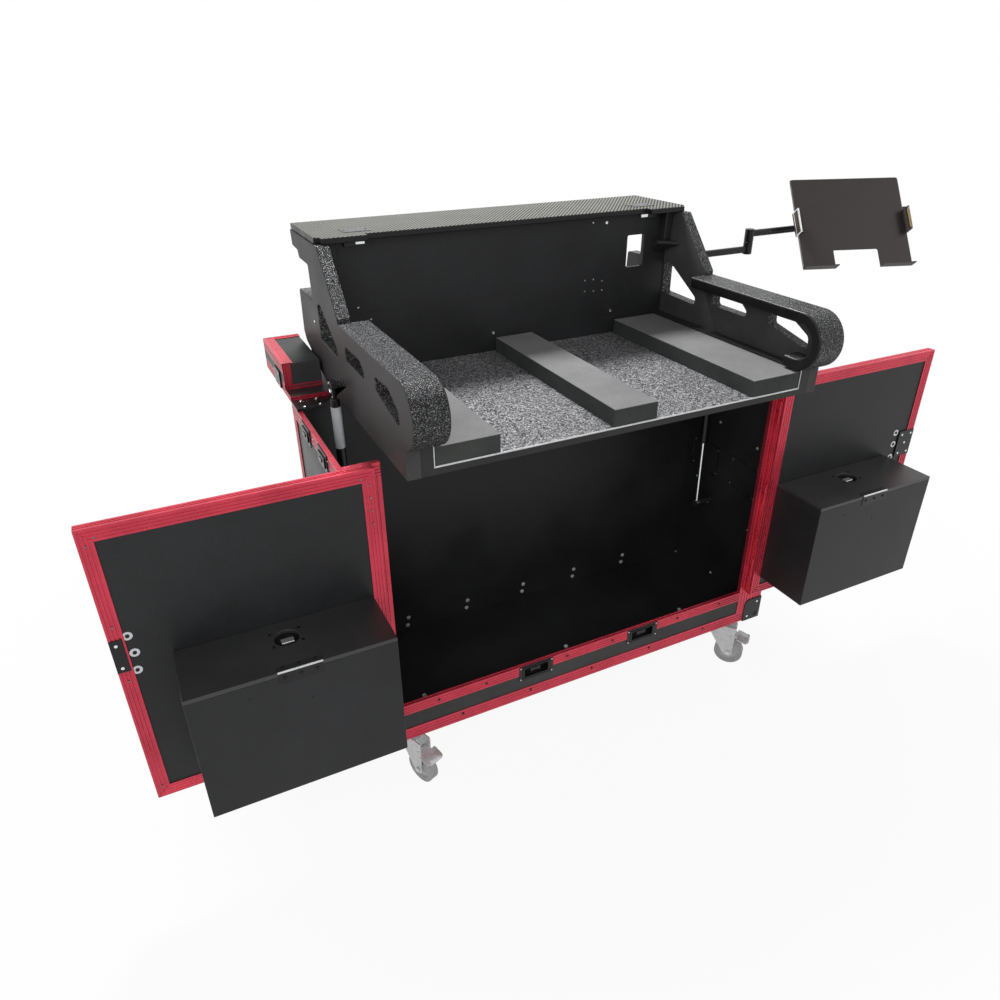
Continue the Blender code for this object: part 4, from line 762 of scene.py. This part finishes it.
def addWheel(place, centre, axis):
    s = wheelValues
    low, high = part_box("caster_wheel_" + place)
    radius = (high[2] - low[2]) / 2
    turn = Vector((0, 0, 1)).rotation_difference(axis).to_matrix().to_4x4()
    deselect()
    bpy.ops.mesh.primitive_cylinder_add(vertices=s["sides"], radius=radius, depth=s["width"] * s["fill"])
    wheel = bpy.context.active_object
    wheel.name = place + "Wheel"
    pushCaps(wheel, s["steps"])
    soften(wheel, s["edge"], 3, s["angle"])
    dress(wheel, "wheelGrey", "wheel_" + place)
    wheel.data.transform(Matrix.Translation(-home))
    wheel.data.materials.append(looks["hubGrey"])
    for face in wheel.data.polygons:
        if math.hypot(face.center.x, face.center.y) < radius - s["tyre"]:
            face.material_index = 1
    wheel.data.transform(Matrix.Translation(centre) @ turn)
    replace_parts(wheel, "caster_wheel_" + place)


# The pedal is a plate that bends down towards its tip, with a turned-up rim.
pedalValues = {"edge": 0.0008, "bend": 0.014, "slope": 0.32, "rim": 0.046, "lift": 0.0040}


def addPedal(place, axis):
    s = pedalValues
    hinge = Vector(joints["brake_" + place]["pos_m"]) - home
    along = Vector(axis).cross(Vector((0, 0, 1)))
    pedal = refinedCopy("brake_pedal_" + place, place + "Pedal", s["edge"])
    activate(pedal)
    bpy.ops.object.mode_set(mode="EDIT")
    bpy.ops.mesh.select_all(action="SELECT")
    bpy.ops.mesh.subdivide(number_cuts=2)
    leaveEdit()
    for corner in pedal.data.vertices:
        reach = abs((corner.co - hinge).dot(along))
        if reach > s["bend"]:
            corner.co.z -= (reach - s["bend"]) * s["slope"]
        if reach > s["rim"]:
            corner.co.z += s["lift"]
    return pedal


for place in casterPlaces:
    spin, fork = joints["wheel_spin_" + place], "fork_" + place
    centre, axis = Vector(spin["pos_m"]), Vector(spin["axis"])
    addWheel(place, centre, axis)
    dress(refinedCopy("caster_fork_" + place, place + "Fork", forkValues["edge"]), "paleZinc", fork)
    for number, way in enumerate((-1, 1)):
        seat = centre - home + axis * way * forkValues["nut"]
        addStuds(place + "AxleNut" + str(number), [seat], axis * way, "zinc", fork, axleNut)
    if place.endswith("front"):
        dress(addPedal(place, axis), "paleZinc", "pedal_" + place)
print("castors made")


# Flip-up tray.

trayValues = {"front": -0.3305, "floor": 0.803, "inside": 0.455, "coat": 0.845, "skin": 0.5125,
              "panelRim": (0.0026, 3), "armRim": (0.0055, 4), "panelEdge": 0.0005, "armEdge": 0.0003,
              "boardEdge": 0.0006, "padEdge": 0.0018, "lidEdge": 0.0022, "angle": 40}
for hand, side in handSigns.items():
    rim = (side * trayValues["skin"], *trayValues["panelRim"])
    panel = refinedCopy(hand + "_side_panel", hand + "SidePanel", trayValues["panelEdge"], 1,
                        trayValues["angle"], rim)
    # The side panels' faces get the lighter grey panel paint: painted light.
    dress(panel, "panelGreyWithPaintedLight", "tray_unit", "roughEdge")
    for face in panel.data.polygons:  # the coating stops above the tray's floor
        if face.center.z - home.z < trayValues["coat"]:
            face.material_index = 0
    low, high = (Vector(end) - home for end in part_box(hand + "_armrest"))
    rim = (low.x if side > 0 else high.x, *trayValues["armRim"])
    arm = refinedCopy(hand + "_armrest", hand + "Armrest", trayValues["armEdge"], 1, trayValues["angle"], rim)
    dress(arm, "blackPlastic", "tray_unit", "roughEdge")
floorBoard = dress(refinedCopy("tray", "trayBoard", trayValues["boardEdge"], 1), "greyPanel", "tray_unit")
floorBoard.data.materials.append(looks["roughFloor"])
for face in floorBoard.data.polygons:  # only the floor between the side boards is coated
    if face.normal.z > 0.9 and abs(face.center.z - home.z - trayValues["floor"]) < 0.002:
        face.material_index = 1
for name in ("left", "center", "right"):
    pad = refinedCopy("pad_" + name, name + "Pad", trayValues["padEdge"], 3)
    # Each pad's sides get the dark cover foam and its top the lighter foam: painted shade on the sides.
    dress(pad, "foam", "tray_unit", "coverFoam", 2)
lid = refinedCopy("doghouse_lid", "doghouseLid", trayValues["lidEdge"], 3)
dress(lid, "tread", "doghouse", "blackPlastic", 2)
for face in lid.data.polygons:  # the underside is plain
    if face.normal.z < 0:
        face.material_index = 1


# Thin metal strip along the floor's front edge and up at both its ends.
trimValues = {"out": 0.0010, "in": 0.0006, "below": 0.0030, "above": 0.0006, "rise": 0.042,
              "inner": 0.0002, "outer": 0.0022, "edge": 0.0004}


def trayTrim():
    s, x, front, floor = trimValues, trayValues["inside"], trayValues["front"], trayValues["floor"]
    near, far, foot = front - s["out"], front + s["in"], floor - s["below"]
    pieces = [addBlock("trim", (-x, near, foot), (x, far, floor + s["above"]))]
    pieces += [addBlock("trim", (left, near, foot), (right, far, floor + s["rise"]))
               for left, right in ((-x - s["outer"], -x - s["inner"]), (x + s["inner"], x + s["outer"]))]
    dress(joinPieces("trayFrontTrim", [soften(piece, s["edge"]) for piece in pieces]), "paleZinc", "tray_unit")


trayTrim()

# Back panel: shallow seams, small bolts and the blocks in its corners.
backPanel = {"skin": 0.25, "seams": [(-0.450, 0.200, 0.9505), (-0.450, 0.142, 0.8745), (0.283, 0.334, 0.8470)],
             "seamHalf": 0.0007, "seamOut": 0.0006, "seamIn": 0.0004, "seamEdge": 0.0003,
             "pins": [(0.240, 1.107), (0.222, 0.959), (0.249, 0.959), (0.223, 0.929), (0.251, 0.927),
                      (0.278, 0.927), (0.277, 0.952), (-0.414, 0.963), (-0.385, 0.931)],
             "bolts": [(0.282, 1.104), (0.310, 0.866), (-0.056, 0.852)]}
cornerBlock = {"inner": 0.458, "outer": 0.4822, "front": 0.223, "back": 0.2498, "foot": 1.030, "head": 1.1225,
               "rise": 0.018, "set": 0.004, "edge": 0.004}
gussetValues = {"low": (0.440, 0.186, 1.016), "head": 1.047, "set": 0.046, "rise": 0.024, "edge": 0.0012}
panelBolts = ((0.292, 0.932), (0.424, 0.938))
# The right one of each pair: two corners, edge, look and body.
panelFittings = {
    "SlideBolt": ((0.408, 0.2385, 1.1065), (0.436, 0.2495, 1.1215), 0.0015, "blackSteel", "tray_unit"),
    "SlideTongue": ((0.386, 0.2405, 1.1100), (0.4085, 0.2480, 1.1190), 0.0012, "brightSteel", "tray_unit"),
    "LidPlate": ((0.366, 0.247, 1.1367), (0.432, 0.296, 1.1383), 0.0006, "blackSteel", "doghouse"),
}
lidPlateRivets = ((0.373, 0.2715, 1.1383), (0.425, 0.2715, 1.1383))


def dressPanel():
    b, near = backPanel, 0.003
    skin, half = b["skin"], b["seamHalf"]
    for number, (start, end, z) in enumerate(b["seams"]):
        addPart("backPanelSeam" + str(number), (start, skin - b["seamOut"], z - half),
                (end, skin + b["seamIn"], z + half), b["seamEdge"], "greyPanel", "tray_unit")
    for name, look, size in (("pins", "zinc", pin), ("bolts", "brightSteel", screw)):
        addStuds("backPanel" + name.capitalize(), [(x, skin, z) for x, z in b[name]], (0, -1, 0), look,
                 "tray_unit", size)
    s, g = cornerBlock, gussetValues
    (left, front, foot), back = g["low"], s["back"]
    gusset = addBlock("rightGusset", g["low"], (s["outer"], back, g["head"]))
    for corner in gusset.data.vertices:  # a wedge, deepest against the side panel
        if corner.co.x < left + near and corner.co.y < front + near:
            corner.co.y += g["set"]
        if corner.co.z < foot + near and corner.co.y < back - near:
            corner.co.z += g["rise"]
    dress(soften(gusset, g["edge"]), "greyPanel", "tray_unit")
    for hand, side in handSigns.items():
        block = addBlock(hand + "CornerBlock", (side * s["inner"], s["front"], s["foot"]),
                         (side * s["outer"], s["back"], s["head"]))
        for corner in block.data.vertices:  # the foot tapers back towards the panel
            if corner.co.z < s["foot"] + near and corner.co.y < s["front"] + near:
                corner.co.z += s["rise"]
                corner.co.y += s["set"]
        dress(soften(block, s["edge"], 3), "greyPanel", "tray_unit")
        for name, (low, high, edge, look, body) in panelFittings.items():
            addPart(hand + name, (side * low[0], *low[1:]), (side * high[0], *high[1:]), edge, look, body)
        addStuds(hand + "LidPlateRivets", [(side * x, y, z) for x, y, z in lidPlateRivets], (0, 0, 1),
                 "blackSteel", "doghouse", pin)
        addStuds(hand + "PanelBolts", [(side * trayValues["skin"], y, z) for y, z in panelBolts],
                 (side, 0, 0), "brightSteel", "tray_unit", screw)


dressPanel()
print("tray dressed")


# Pivots and gas springs.

springValues = {"x": 0.54, "y": 0.052, "foot": 0.2854, "lean": (0, 0.017696, 0.999843), "radius": 0.01150,
                "wall": 0.0008, "low": 0.700, "high": 0.800, "edge": 0.0001, "angle": 60}
pivotValues = {"face": 0.522, "bolts": [(y, z) for z in (0.812, 0.785) for y in (0.160, 0.184)],
               "nut": (0.172, 0.7954), "feet": [(x, y) for x in (0.555, 0.592) for y in (0.150, 0.189)],
               "foot": 0.7770}


def addPivot(hand, side):
    p, s = pivotValues, springValues
    face, out, look = side * p["face"], (side, 0, 0), "brightSteel"
    addStuds(hand + "PivotBolts", [(face, y, z) for y, z in p["bolts"]], out, look, "case", screw)
    addStuds(hand + "PivotNut", [(face, *p["nut"])], out, look, "case", pivotNut)
    feet = [(side * x, y, p["foot"]) for x, y in p["feet"]]
    addStuds(hand + "PivotFootBolts", feet, (0, 0, 1), look, "case", screw)
    foot, lean = Vector((side * s["x"], s["y"], s["foot"])), Vector(s["lean"])
    low, high = (foot + lean * (s[end] - foot.z) for end in ("low", "high"))
    label = addRod(hand + "SpringLabel", low, high, s["radius"], 32)
    pick(label, "FACE", lambda face: len(face.verts) > 4)  # without its ends, the label is a sleeve
    bpy.ops.mesh.delete(type="ONLY_FACE")
    leaveEdit()
    sleeve = label.modifiers.new("sleeve", "SOLIDIFY")
    sleeve.thickness = s["wall"]
    bpy.ops.object.modifier_apply(modifier=sleeve.name)
    dress(soften(label, s["edge"], 1, s["angle"]), "blankLabel", "gas_tube_" + hand)


for hand, side in handSigns.items():
    addPivot(hand, side)
print("springs dressed")


# Rear cover with foam in its ends.

coverValues = {"x": 0.612, "inner": 0.520, "front": 0.202, "block": 0.257, "back": 0.490, "foot": 0.772,
               "sheet": 0.7834, "head": 0.8507, "face": 0.026, "lip": 0.020, "lipHead": 0.012, "ledge": 0.022,
               "rear": 0.0186, "edge": 0.0006, "sink": 0.0004}
coverBoard = {"out": 0.0003, "in": 0.009, "gap": 0.001, "foot": 0.024, "head": 0.022}
coverFoam = {"side": 0.010, "front": 0.0012, "top": 0.0022, "edge": 0.0022}
coverLatch = {"out": 0.0035, "low": (0.043, 0.004), "high": (0.103, 0.046), "edge": 0.0012,
              "rivets": [(y, z) for y in (0.050, 0.096) for z in (0.783, 0.811)]}
coverLeaves = {"middles": (-0.35, 0, 0.35), "half": 0.03, "front": 0.192, "back": 0.2134, "head": 0.7735}


def coverEnd(side):
    s, wall, face, lip = coverValues, railValues["wall"], coverValues["face"], coverValues["lip"]
    outer, inner, block, back = side * s["x"], side * s["inner"], s["block"], s["back"]
    foot, sheet, head, skin = s["foot"], s["sheet"], s["head"], side * s["x"] - side * wall
    lipHead = sheet + s["lipHead"]
    out, number = (side, 0, 0), str(side)
    b, f, c = coverBoard, coverFoam, coverLatch
    addPart("rearCoverEnd" + number, (outer - side * b["out"], block + b["gap"], foot + b["foot"]),
            (outer - side * b["in"], back - b["gap"], head - b["head"]), s["edge"], "laminate", "cover")
    foam = addPart("rearCoverFoam" + number, (outer - side * f["side"], block + f["front"], sheet),
                   (inner, back - wall, head - f["top"]), f["edge"], "coverFoam", "cover", 3)
    latch, (near, low), (far, high) = outer + side * c["out"], c["low"], c["high"]
    addPart("rearCoverLatch" + number, (outer, block + near, foot + low), (latch, block + far, foot + high),
            c["edge"], "blackSteel", "cover")
    addStuds("rearCoverLatchRivets" + number, [(latch, block + y, z) for y, z in c["rivets"]], out,
             "brightSteel", "cover", pin)
    return [
        groovedPlate((outer, s["front"] + wall, foot), (skin, block, sheet + wall), out, 1),
        groovedPlate((outer, block, foot), (skin, back, foot + face), out),
        groovedPlate((outer, block, head - face), (skin, back, head), out),
        groovedPlate((skin, block, head - wall), (outer - side * face, back, head), (0, 0, 1)),
        groovedPlate((outer - side * face, back, head - wall), (inner, back - s["ledge"], head), (0, 0, 1)),
        groovedPlate((outer, block, sheet), (outer - side * lip, block + wall, head), (0, -1, 0), 1),
        groovedPlate((outer - side * lip, block, sheet), (inner, block + wall, lipHead), (0, -1, 0), 1),
        groovedPlate((outer, back, foot), (inner, back - wall, head), (0, 1, 0), 4),
    ]


def rearCover():
    s, wall, c = coverValues, railValues["wall"], coverLeaves
    board = addPart("rearCoverBoard", (-s["x"] + wall, s["front"] + wall, s["foot"] + s["sink"]),
                    (s["x"] - wall, s["back"] - wall, s["sheet"]), s["edge"], "laminate", "cover")
    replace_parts(board, "rear_cover")
    leaves = [addBlock("leaf", (x - c["half"], c["front"], s["foot"]), (x + c["half"], c["back"], c["head"]))
              for x in c["middles"]]
    dress(joinPieces("rearCoverLeaves", leaves), "zinc", "cover")
    rails = [
        groovedPlate((-s["inner"], s["back"], s["foot"]),
                     (s["inner"], s["back"] - wall, s["sheet"] + s["rear"]), (0, 1, 0)),
        groovedPlate((-s["x"], s["front"], s["foot"]), (s["x"], s["front"] + wall, s["sheet"] + wall),
                     (0, -1, 0), 1),
    ]
    for side in (-1, 1):
        rails += coverEnd(side)
    dress(joinPieces("rearCoverRails", rails), "redRail", "cover")


rearCover()
print("rear cover made")


# Bolts and dishes inside the cabinet.

insideValues = {
    "board": 0.009, "washer": 0.0012, "floor": 0.015,
    "back": [(x + dx, z) for x in (-0.376, -0.187, 0.003, 0.186, 0.373)
             for dx, z in ((0.0, 0.034), (0.004, 0.060))],
    "floorBolts": ((-0.432, -0.09), (0.003, -0.085), (0.40, -0.09)),
    "wall": [(-0.117, 0.259), (0.009, 0.031), (0.068, 0.266), (-0.10, 0.52), (0.06, 0.54), (-0.15, 0.33),
             (0.13, 0.33)],
}
dish = {"ends": ((-0.137, -0.006), (0.045, 0.165)), "foot": 0.361, "head": 0.458, "width": 0.003,
        "depth": 0.0012, "edge": 0.0003, "rivets": (0.008, 0.010)}
backWall, leftWall = (Vector(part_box(node)[0]) - home for node in ("back_wall", "left_wall"))
wallFace = -leftWall.x - insideValues["board"]  # the walls' inner faces, behind the springs' studs
# The back wall's, floor's and right wall's bolts and washers get the pale look: partly pale zinc, partly a
# painted highlight for their shine in the dark cabinet.
for name, away, size in (("Washers", 0, smallWasher), ("Bolts", insideValues["washer"], screw)):
    places = [(x, backWall.y - away, z) for x, z in insideValues["back"]]
    addStuds("backWall" + name, places, (0, -1, 0), "paleZinc", "case", size)
places = [(x, y, insideValues["floor"]) for x, y in insideValues["floorBolts"]]
addStuds("floorBolts", places, (0, 0, 1), "paleZinc", "case", bolt)
for hand, side, look in (("right", 1, "paleZinc"), ("left", -1, "dullZinc")):
    places = [(side * wallFace, y, z) for y, z in insideValues["wall"]]
    addStuds(hand + "WallBolts", places, (-side, 0, 0), look, "case", screw)
for number, (front, back) in enumerate(dish["ends"]):
    foot, head, width, (dy, dz) = dish["foot"], dish["head"], dish["width"], dish["rivets"]
    bars = [addBlock("bar", (wallFace - dish["depth"], y, z), (wallFace, farY, farZ)) for y, z, farY, farZ in (
        (front, foot, back, foot + width), (front, head - width, back, head),
        (front, foot, front + width, head), (back - width, foot, back, head))]
    dress(joinPieces("dishEdge" + str(number), [soften(one, dish["edge"]) for one in bars]), "dullZinc", "case")
    addStuds("dishRivets" + str(number), [(wallFace, y, z) for y in (front + dy, back - dy)
                                          for z in (foot + dz, head - dz)], (-1, 0, 0), "zinc", "case", pin)

# Butterfly latches on the side walls' top rails: plate, ring and wing, as half
# length, low and high, how far each starts and ends off the rail, and its edge.
sideLatch = {"middles": (-0.085, 0.060), "plate": (0.036, 0.727, 0.769, 0, 0.0025, 0.0009),
             "ring": (0.026, 0.736, 0.760, 0.002, 0.0055, 0.0012),
             "wing": (0.010, 0.744, 0.752, 0.005, 0.0075, 0.0009)}
for hand, side in handSigns.items():
    for number, middle in enumerate(sideLatch["middles"]):
        skin, parts = side * caseSize["x"], {}
        for part in ("plate", "ring", "wing"):
            half, low, high, start, end, edge = sideLatch[part]
            block = addBlock(part, (skin + side * start, middle - half, low),
                             (skin + side * end, middle + half, high))
            parts[part] = soften(block, edge)
        latch = joinPieces(hand + "SideLatch" + str(number), [parts["plate"], parts["ring"]])
        dress(latch, "blackSteel", "case")
        parts["wing"].name = hand + "SideLatchWing" + str(number)
        dress(parts["wing"], "dullZinc", "case")
print("cabinet's inside dressed")


# Tablet holder.

armValues = {"half": 0.0095, "flat": 0.0057, "y": 0.275, "edge": 0.003, "elbow": 0.81, "sleeve": 0.0135,
             "sleeveEdge": 0.0016,
             "bars": (("tabletLowerBar", "lower_arm", 0.556, 0.806, 0.9844),
                      ("tabletUpperBar", "upper_arm", 0.814, 1.134, 1.0294)),
             "knuckles": (("tabletKnuckleLow", "lower_arm", 0.9705, 1.0065),
                          ("tabletKnuckleHigh", "upper_arm", 1.0072, 1.0430))}
s = armValues
y, half, flat = s["y"], s["half"], s["flat"]
for name, body, start, end, z in s["bars"]:
    addPart(name, (start, y - flat, z - half), (end, y + flat, z + half), s["edge"], "blackSteel", body, 3)
for name, body, low, high in s["knuckles"]:
    sleeve = addRod(name, (s["elbow"], y, low), (s["elbow"], y, high), s["sleeve"], 32)
    dress(soften(sleeve, s["sleeveEdge"], 3), "blackSteel", body)

# The plate's own axes: x across it, y back from its face and z up it. Each clip
# is four rods, by their starts and ends in y and z.
plateTurn = Matrix(((0.94997, 0.24779, 0.19014), (-0.31233, 0.75366, 0.57831), (0, -0.60876, 0.79335))).to_4x4()
plateTurn = Matrix.Translation(Vector(joints["tablet_tilt"]["pos_m"]) - home) @ plateTurn
plateValues = {"edge": 0.0007, "ends": {"left": -0.171, "right": 0.179}, "strip": (-0.0326, -0.0276),
               "stripEdge": 0.0004, "stripIn": 0.0012, "stripOut": 0.0005, "sideStrip": (-0.180, 0.096),
               "topStrip": (-0.164, 0.172, 0.1012, 0.1029)}
clipValues = {"out": 0.004, "radius": 0.0026, "edge": 0.0008, "padLow": (0.0005, -0.056, -0.072),
              "padHigh": (0.0035, -0.037, -0.012), "padEdge": 0.0012,
              "rods": (((-0.030, -0.006), (-0.060, -0.006)), ((-0.030, -0.078), (-0.060, -0.078)),
                       ((-0.059, -0.006), (-0.059, -0.078)), ((-0.034, -0.002), (-0.034, -0.082)))}
dress(refinedCopy("tablet_plate", "tabletPlate", plateValues["edge"]), "tabletBlack", "tablet_holder")


def onPlate(piece, look):
    piece.data.transform(plateTurn)
    return dress(piece, look, "tablet_holder")


def plateStrip(name, left, right, foot, head):
    near, far = plateValues["strip"]
    strip = addBlock(name, (left, near, foot), (right, far, head))
    onPlate(soften(strip, plateValues["stripEdge"]), "dullZinc")


for hand, side in handSigns.items():
    c, end = clipValues, plateValues["ends"][hand]
    x, low, high = end + side * c["out"], c["padLow"], c["padHigh"]
    hoops = [addRod("hoop", (x, *start), (x, *stop), c["radius"], 16) for start, stop in c["rods"]]
    onPlate(joinPieces(hand + "ClipHoop", [soften(hoop, c["edge"]) for hoop in hoops]), "brightSteel")
    pad = addBlock(hand + "ClipPad", (end + side * low[0], *low[1:]), (end + side * high[0], *high[1:]))
    onPlate(soften(pad, c["padEdge"]), "clipPad")
    inside, outside = end - side * plateValues["stripIn"], end + side * plateValues["stripOut"]
    plateStrip(hand + "PlateEdge", inside, outside, *plateValues["sideStrip"])
plateStrip("plateTopEdge", *plateValues["topStrip"])
print("tablet holder dressed")


# Camera, light and floor.

def addCamera():
    values = {"place": (-0.9035, -1.5427, 1.4413), "yaw": 0.4485, "pitch": -0.5051, "roll": -0.0098,
              "lens": 27.41}
    yaw, pitch, roll = values["yaw"], values["pitch"], values["roll"]
    ahead = Vector((math.sin(yaw) * math.cos(pitch), math.cos(yaw) * math.cos(pitch), math.sin(pitch)))
    right = Vector((math.cos(yaw), -math.sin(yaw), 0))
    up = right.cross(ahead)
    right, up = (right * math.cos(roll) + up * math.sin(roll), up * math.cos(roll) - right * math.sin(roll))
    turn = Matrix((right, up, -ahead)).transposed().to_4x4()
    lens = bpy.data.cameras.new("camera")
    lens.sensor_width = 36
    lens.lens = values["lens"]
    lens.clip_end = 60
    camera = bpy.data.objects.new("camera", lens)
    camera.matrix_world = Matrix.Translation(Vector(values["place"]) + home) @ turn
    bpy.context.scene.collection.objects.link(camera)
    bpy.context.scene.camera = camera


lamps = {"topLamp": {"place": (0.1, 1.5, 3.1), "aim": (0.1, 0, 0.85), "size": 0.7, "power": 100},
         "frontLamp": {"place": (-1.9, -2.4, 2.3), "aim": (-0.2, -0.1, 0.5), "size": 2.0, "power": 28},
         "sideLamp": {"place": (2.6, -1.6, 2.6), "aim": (0.2, 0, 0.6), "size": 2.0, "power": 14}}


def addLamp(name, values):
    lamp = bpy.data.lights.new(name, "AREA")
    lamp.shape = "DISK"
    lamp.size = values["size"]
    lamp.energy = values["power"]
    holder = bpy.data.objects.new(name, lamp)
    place = Vector(values["place"])
    holder.location = place + home
    holder.rotation_euler = (Vector(values["aim"]) - place).to_track_quat("-Z", "Y").to_euler()
    bpy.context.scene.collection.objects.link(holder)


def addMath(tree, operation, first, second):
    node = tree.nodes.new("ShaderNodeMath")
    node.operation = operation
    tree.links.new(first, node.inputs[0])
    tree.links.new(second, node.inputs[1])
    return node.outputs["Value"]


# What the camera and the metal see is plain white, at no extra light.
def seenWhite(tree, nodeType):
    path = tree.nodes.new("ShaderNodeLightPath").outputs
    white = tree.nodes.new(nodeType)
    white.inputs["Color"].default_value = (1, 1, 1, 1)
    white.inputs["Strength"].default_value = 1.0
    seen = addMath(tree, "MAXIMUM", path["Is Camera Ray"], path["Is Glossy Ray"])
    return white.outputs[0], addMath(tree, "MAXIMUM", seen, path["Is Transmission Ray"])


def mixInto(tree, share, first, second, socket):
    blend = tree.nodes.new("ShaderNodeMixShader")
    tree.links.new(share, blend.inputs["Fac"])
    tree.links.new(first, blend.inputs[1])
    tree.links.new(second, blend.inputs[2])
    tree.links.new(blend.outputs["Shader"], socket)


# The floor's white share rises from near to far, each a distance and a share.
studio = {"ambient": 0.22, "size": 32, "level": -0.0002, "color": (0.88, 0.88, 0.88, 1),
          "near": (0.9, 0.93), "far": (2.2, 1.0)}


def addStudio():
    world = bpy.data.worlds.new("studio")
    bpy.context.scene.world = world
    world.use_nodes = True
    tree = world.node_tree
    ambient = tree.nodes["Background"]
    ambient.inputs["Color"].default_value = (1, 1, 1, 1)
    ambient.inputs["Strength"].default_value = studio["ambient"]
    white, seen = seenWhite(tree, "ShaderNodeBackground")
    mixInto(tree, seen, ambient.outputs["Background"], white, tree.nodes["World Output"].inputs["Surface"])
    deselect()
    bpy.ops.mesh.primitive_plane_add(size=studio["size"], location=(home.x, home.y, studio["level"]))
    floor = bpy.context.active_object
    floor.name = "studioFloor"
    material, tree, shader, coords = startMaterial("floor", 0.9, 0, 0.1)
    shader.inputs["Base Color"].default_value = studio["color"]
    white, seen = seenWhite(tree, "ShaderNodeEmission")
    away = tree.nodes.new("ShaderNodeVectorMath")
    away.operation = "LENGTH"
    tree.links.new(coords, away.inputs[0])
    (near, low), (far, high) = studio["near"], studio["far"]
    glow = addRange(tree, away.outputs["Value"], low, high, near, far)
    share = addMath(tree, "MULTIPLY", seen, glow)
    mixInto(tree, share, shader.outputs["BSDF"], white, tree.nodes["Material Output"].inputs["Surface"])
    floor.data.materials.append(material)


addCamera()
for name, values in lamps.items():
    addLamp(name, values)
addStudio()
bpy.context.scene.view_settings.view_transform = "Standard"
print("studio made")
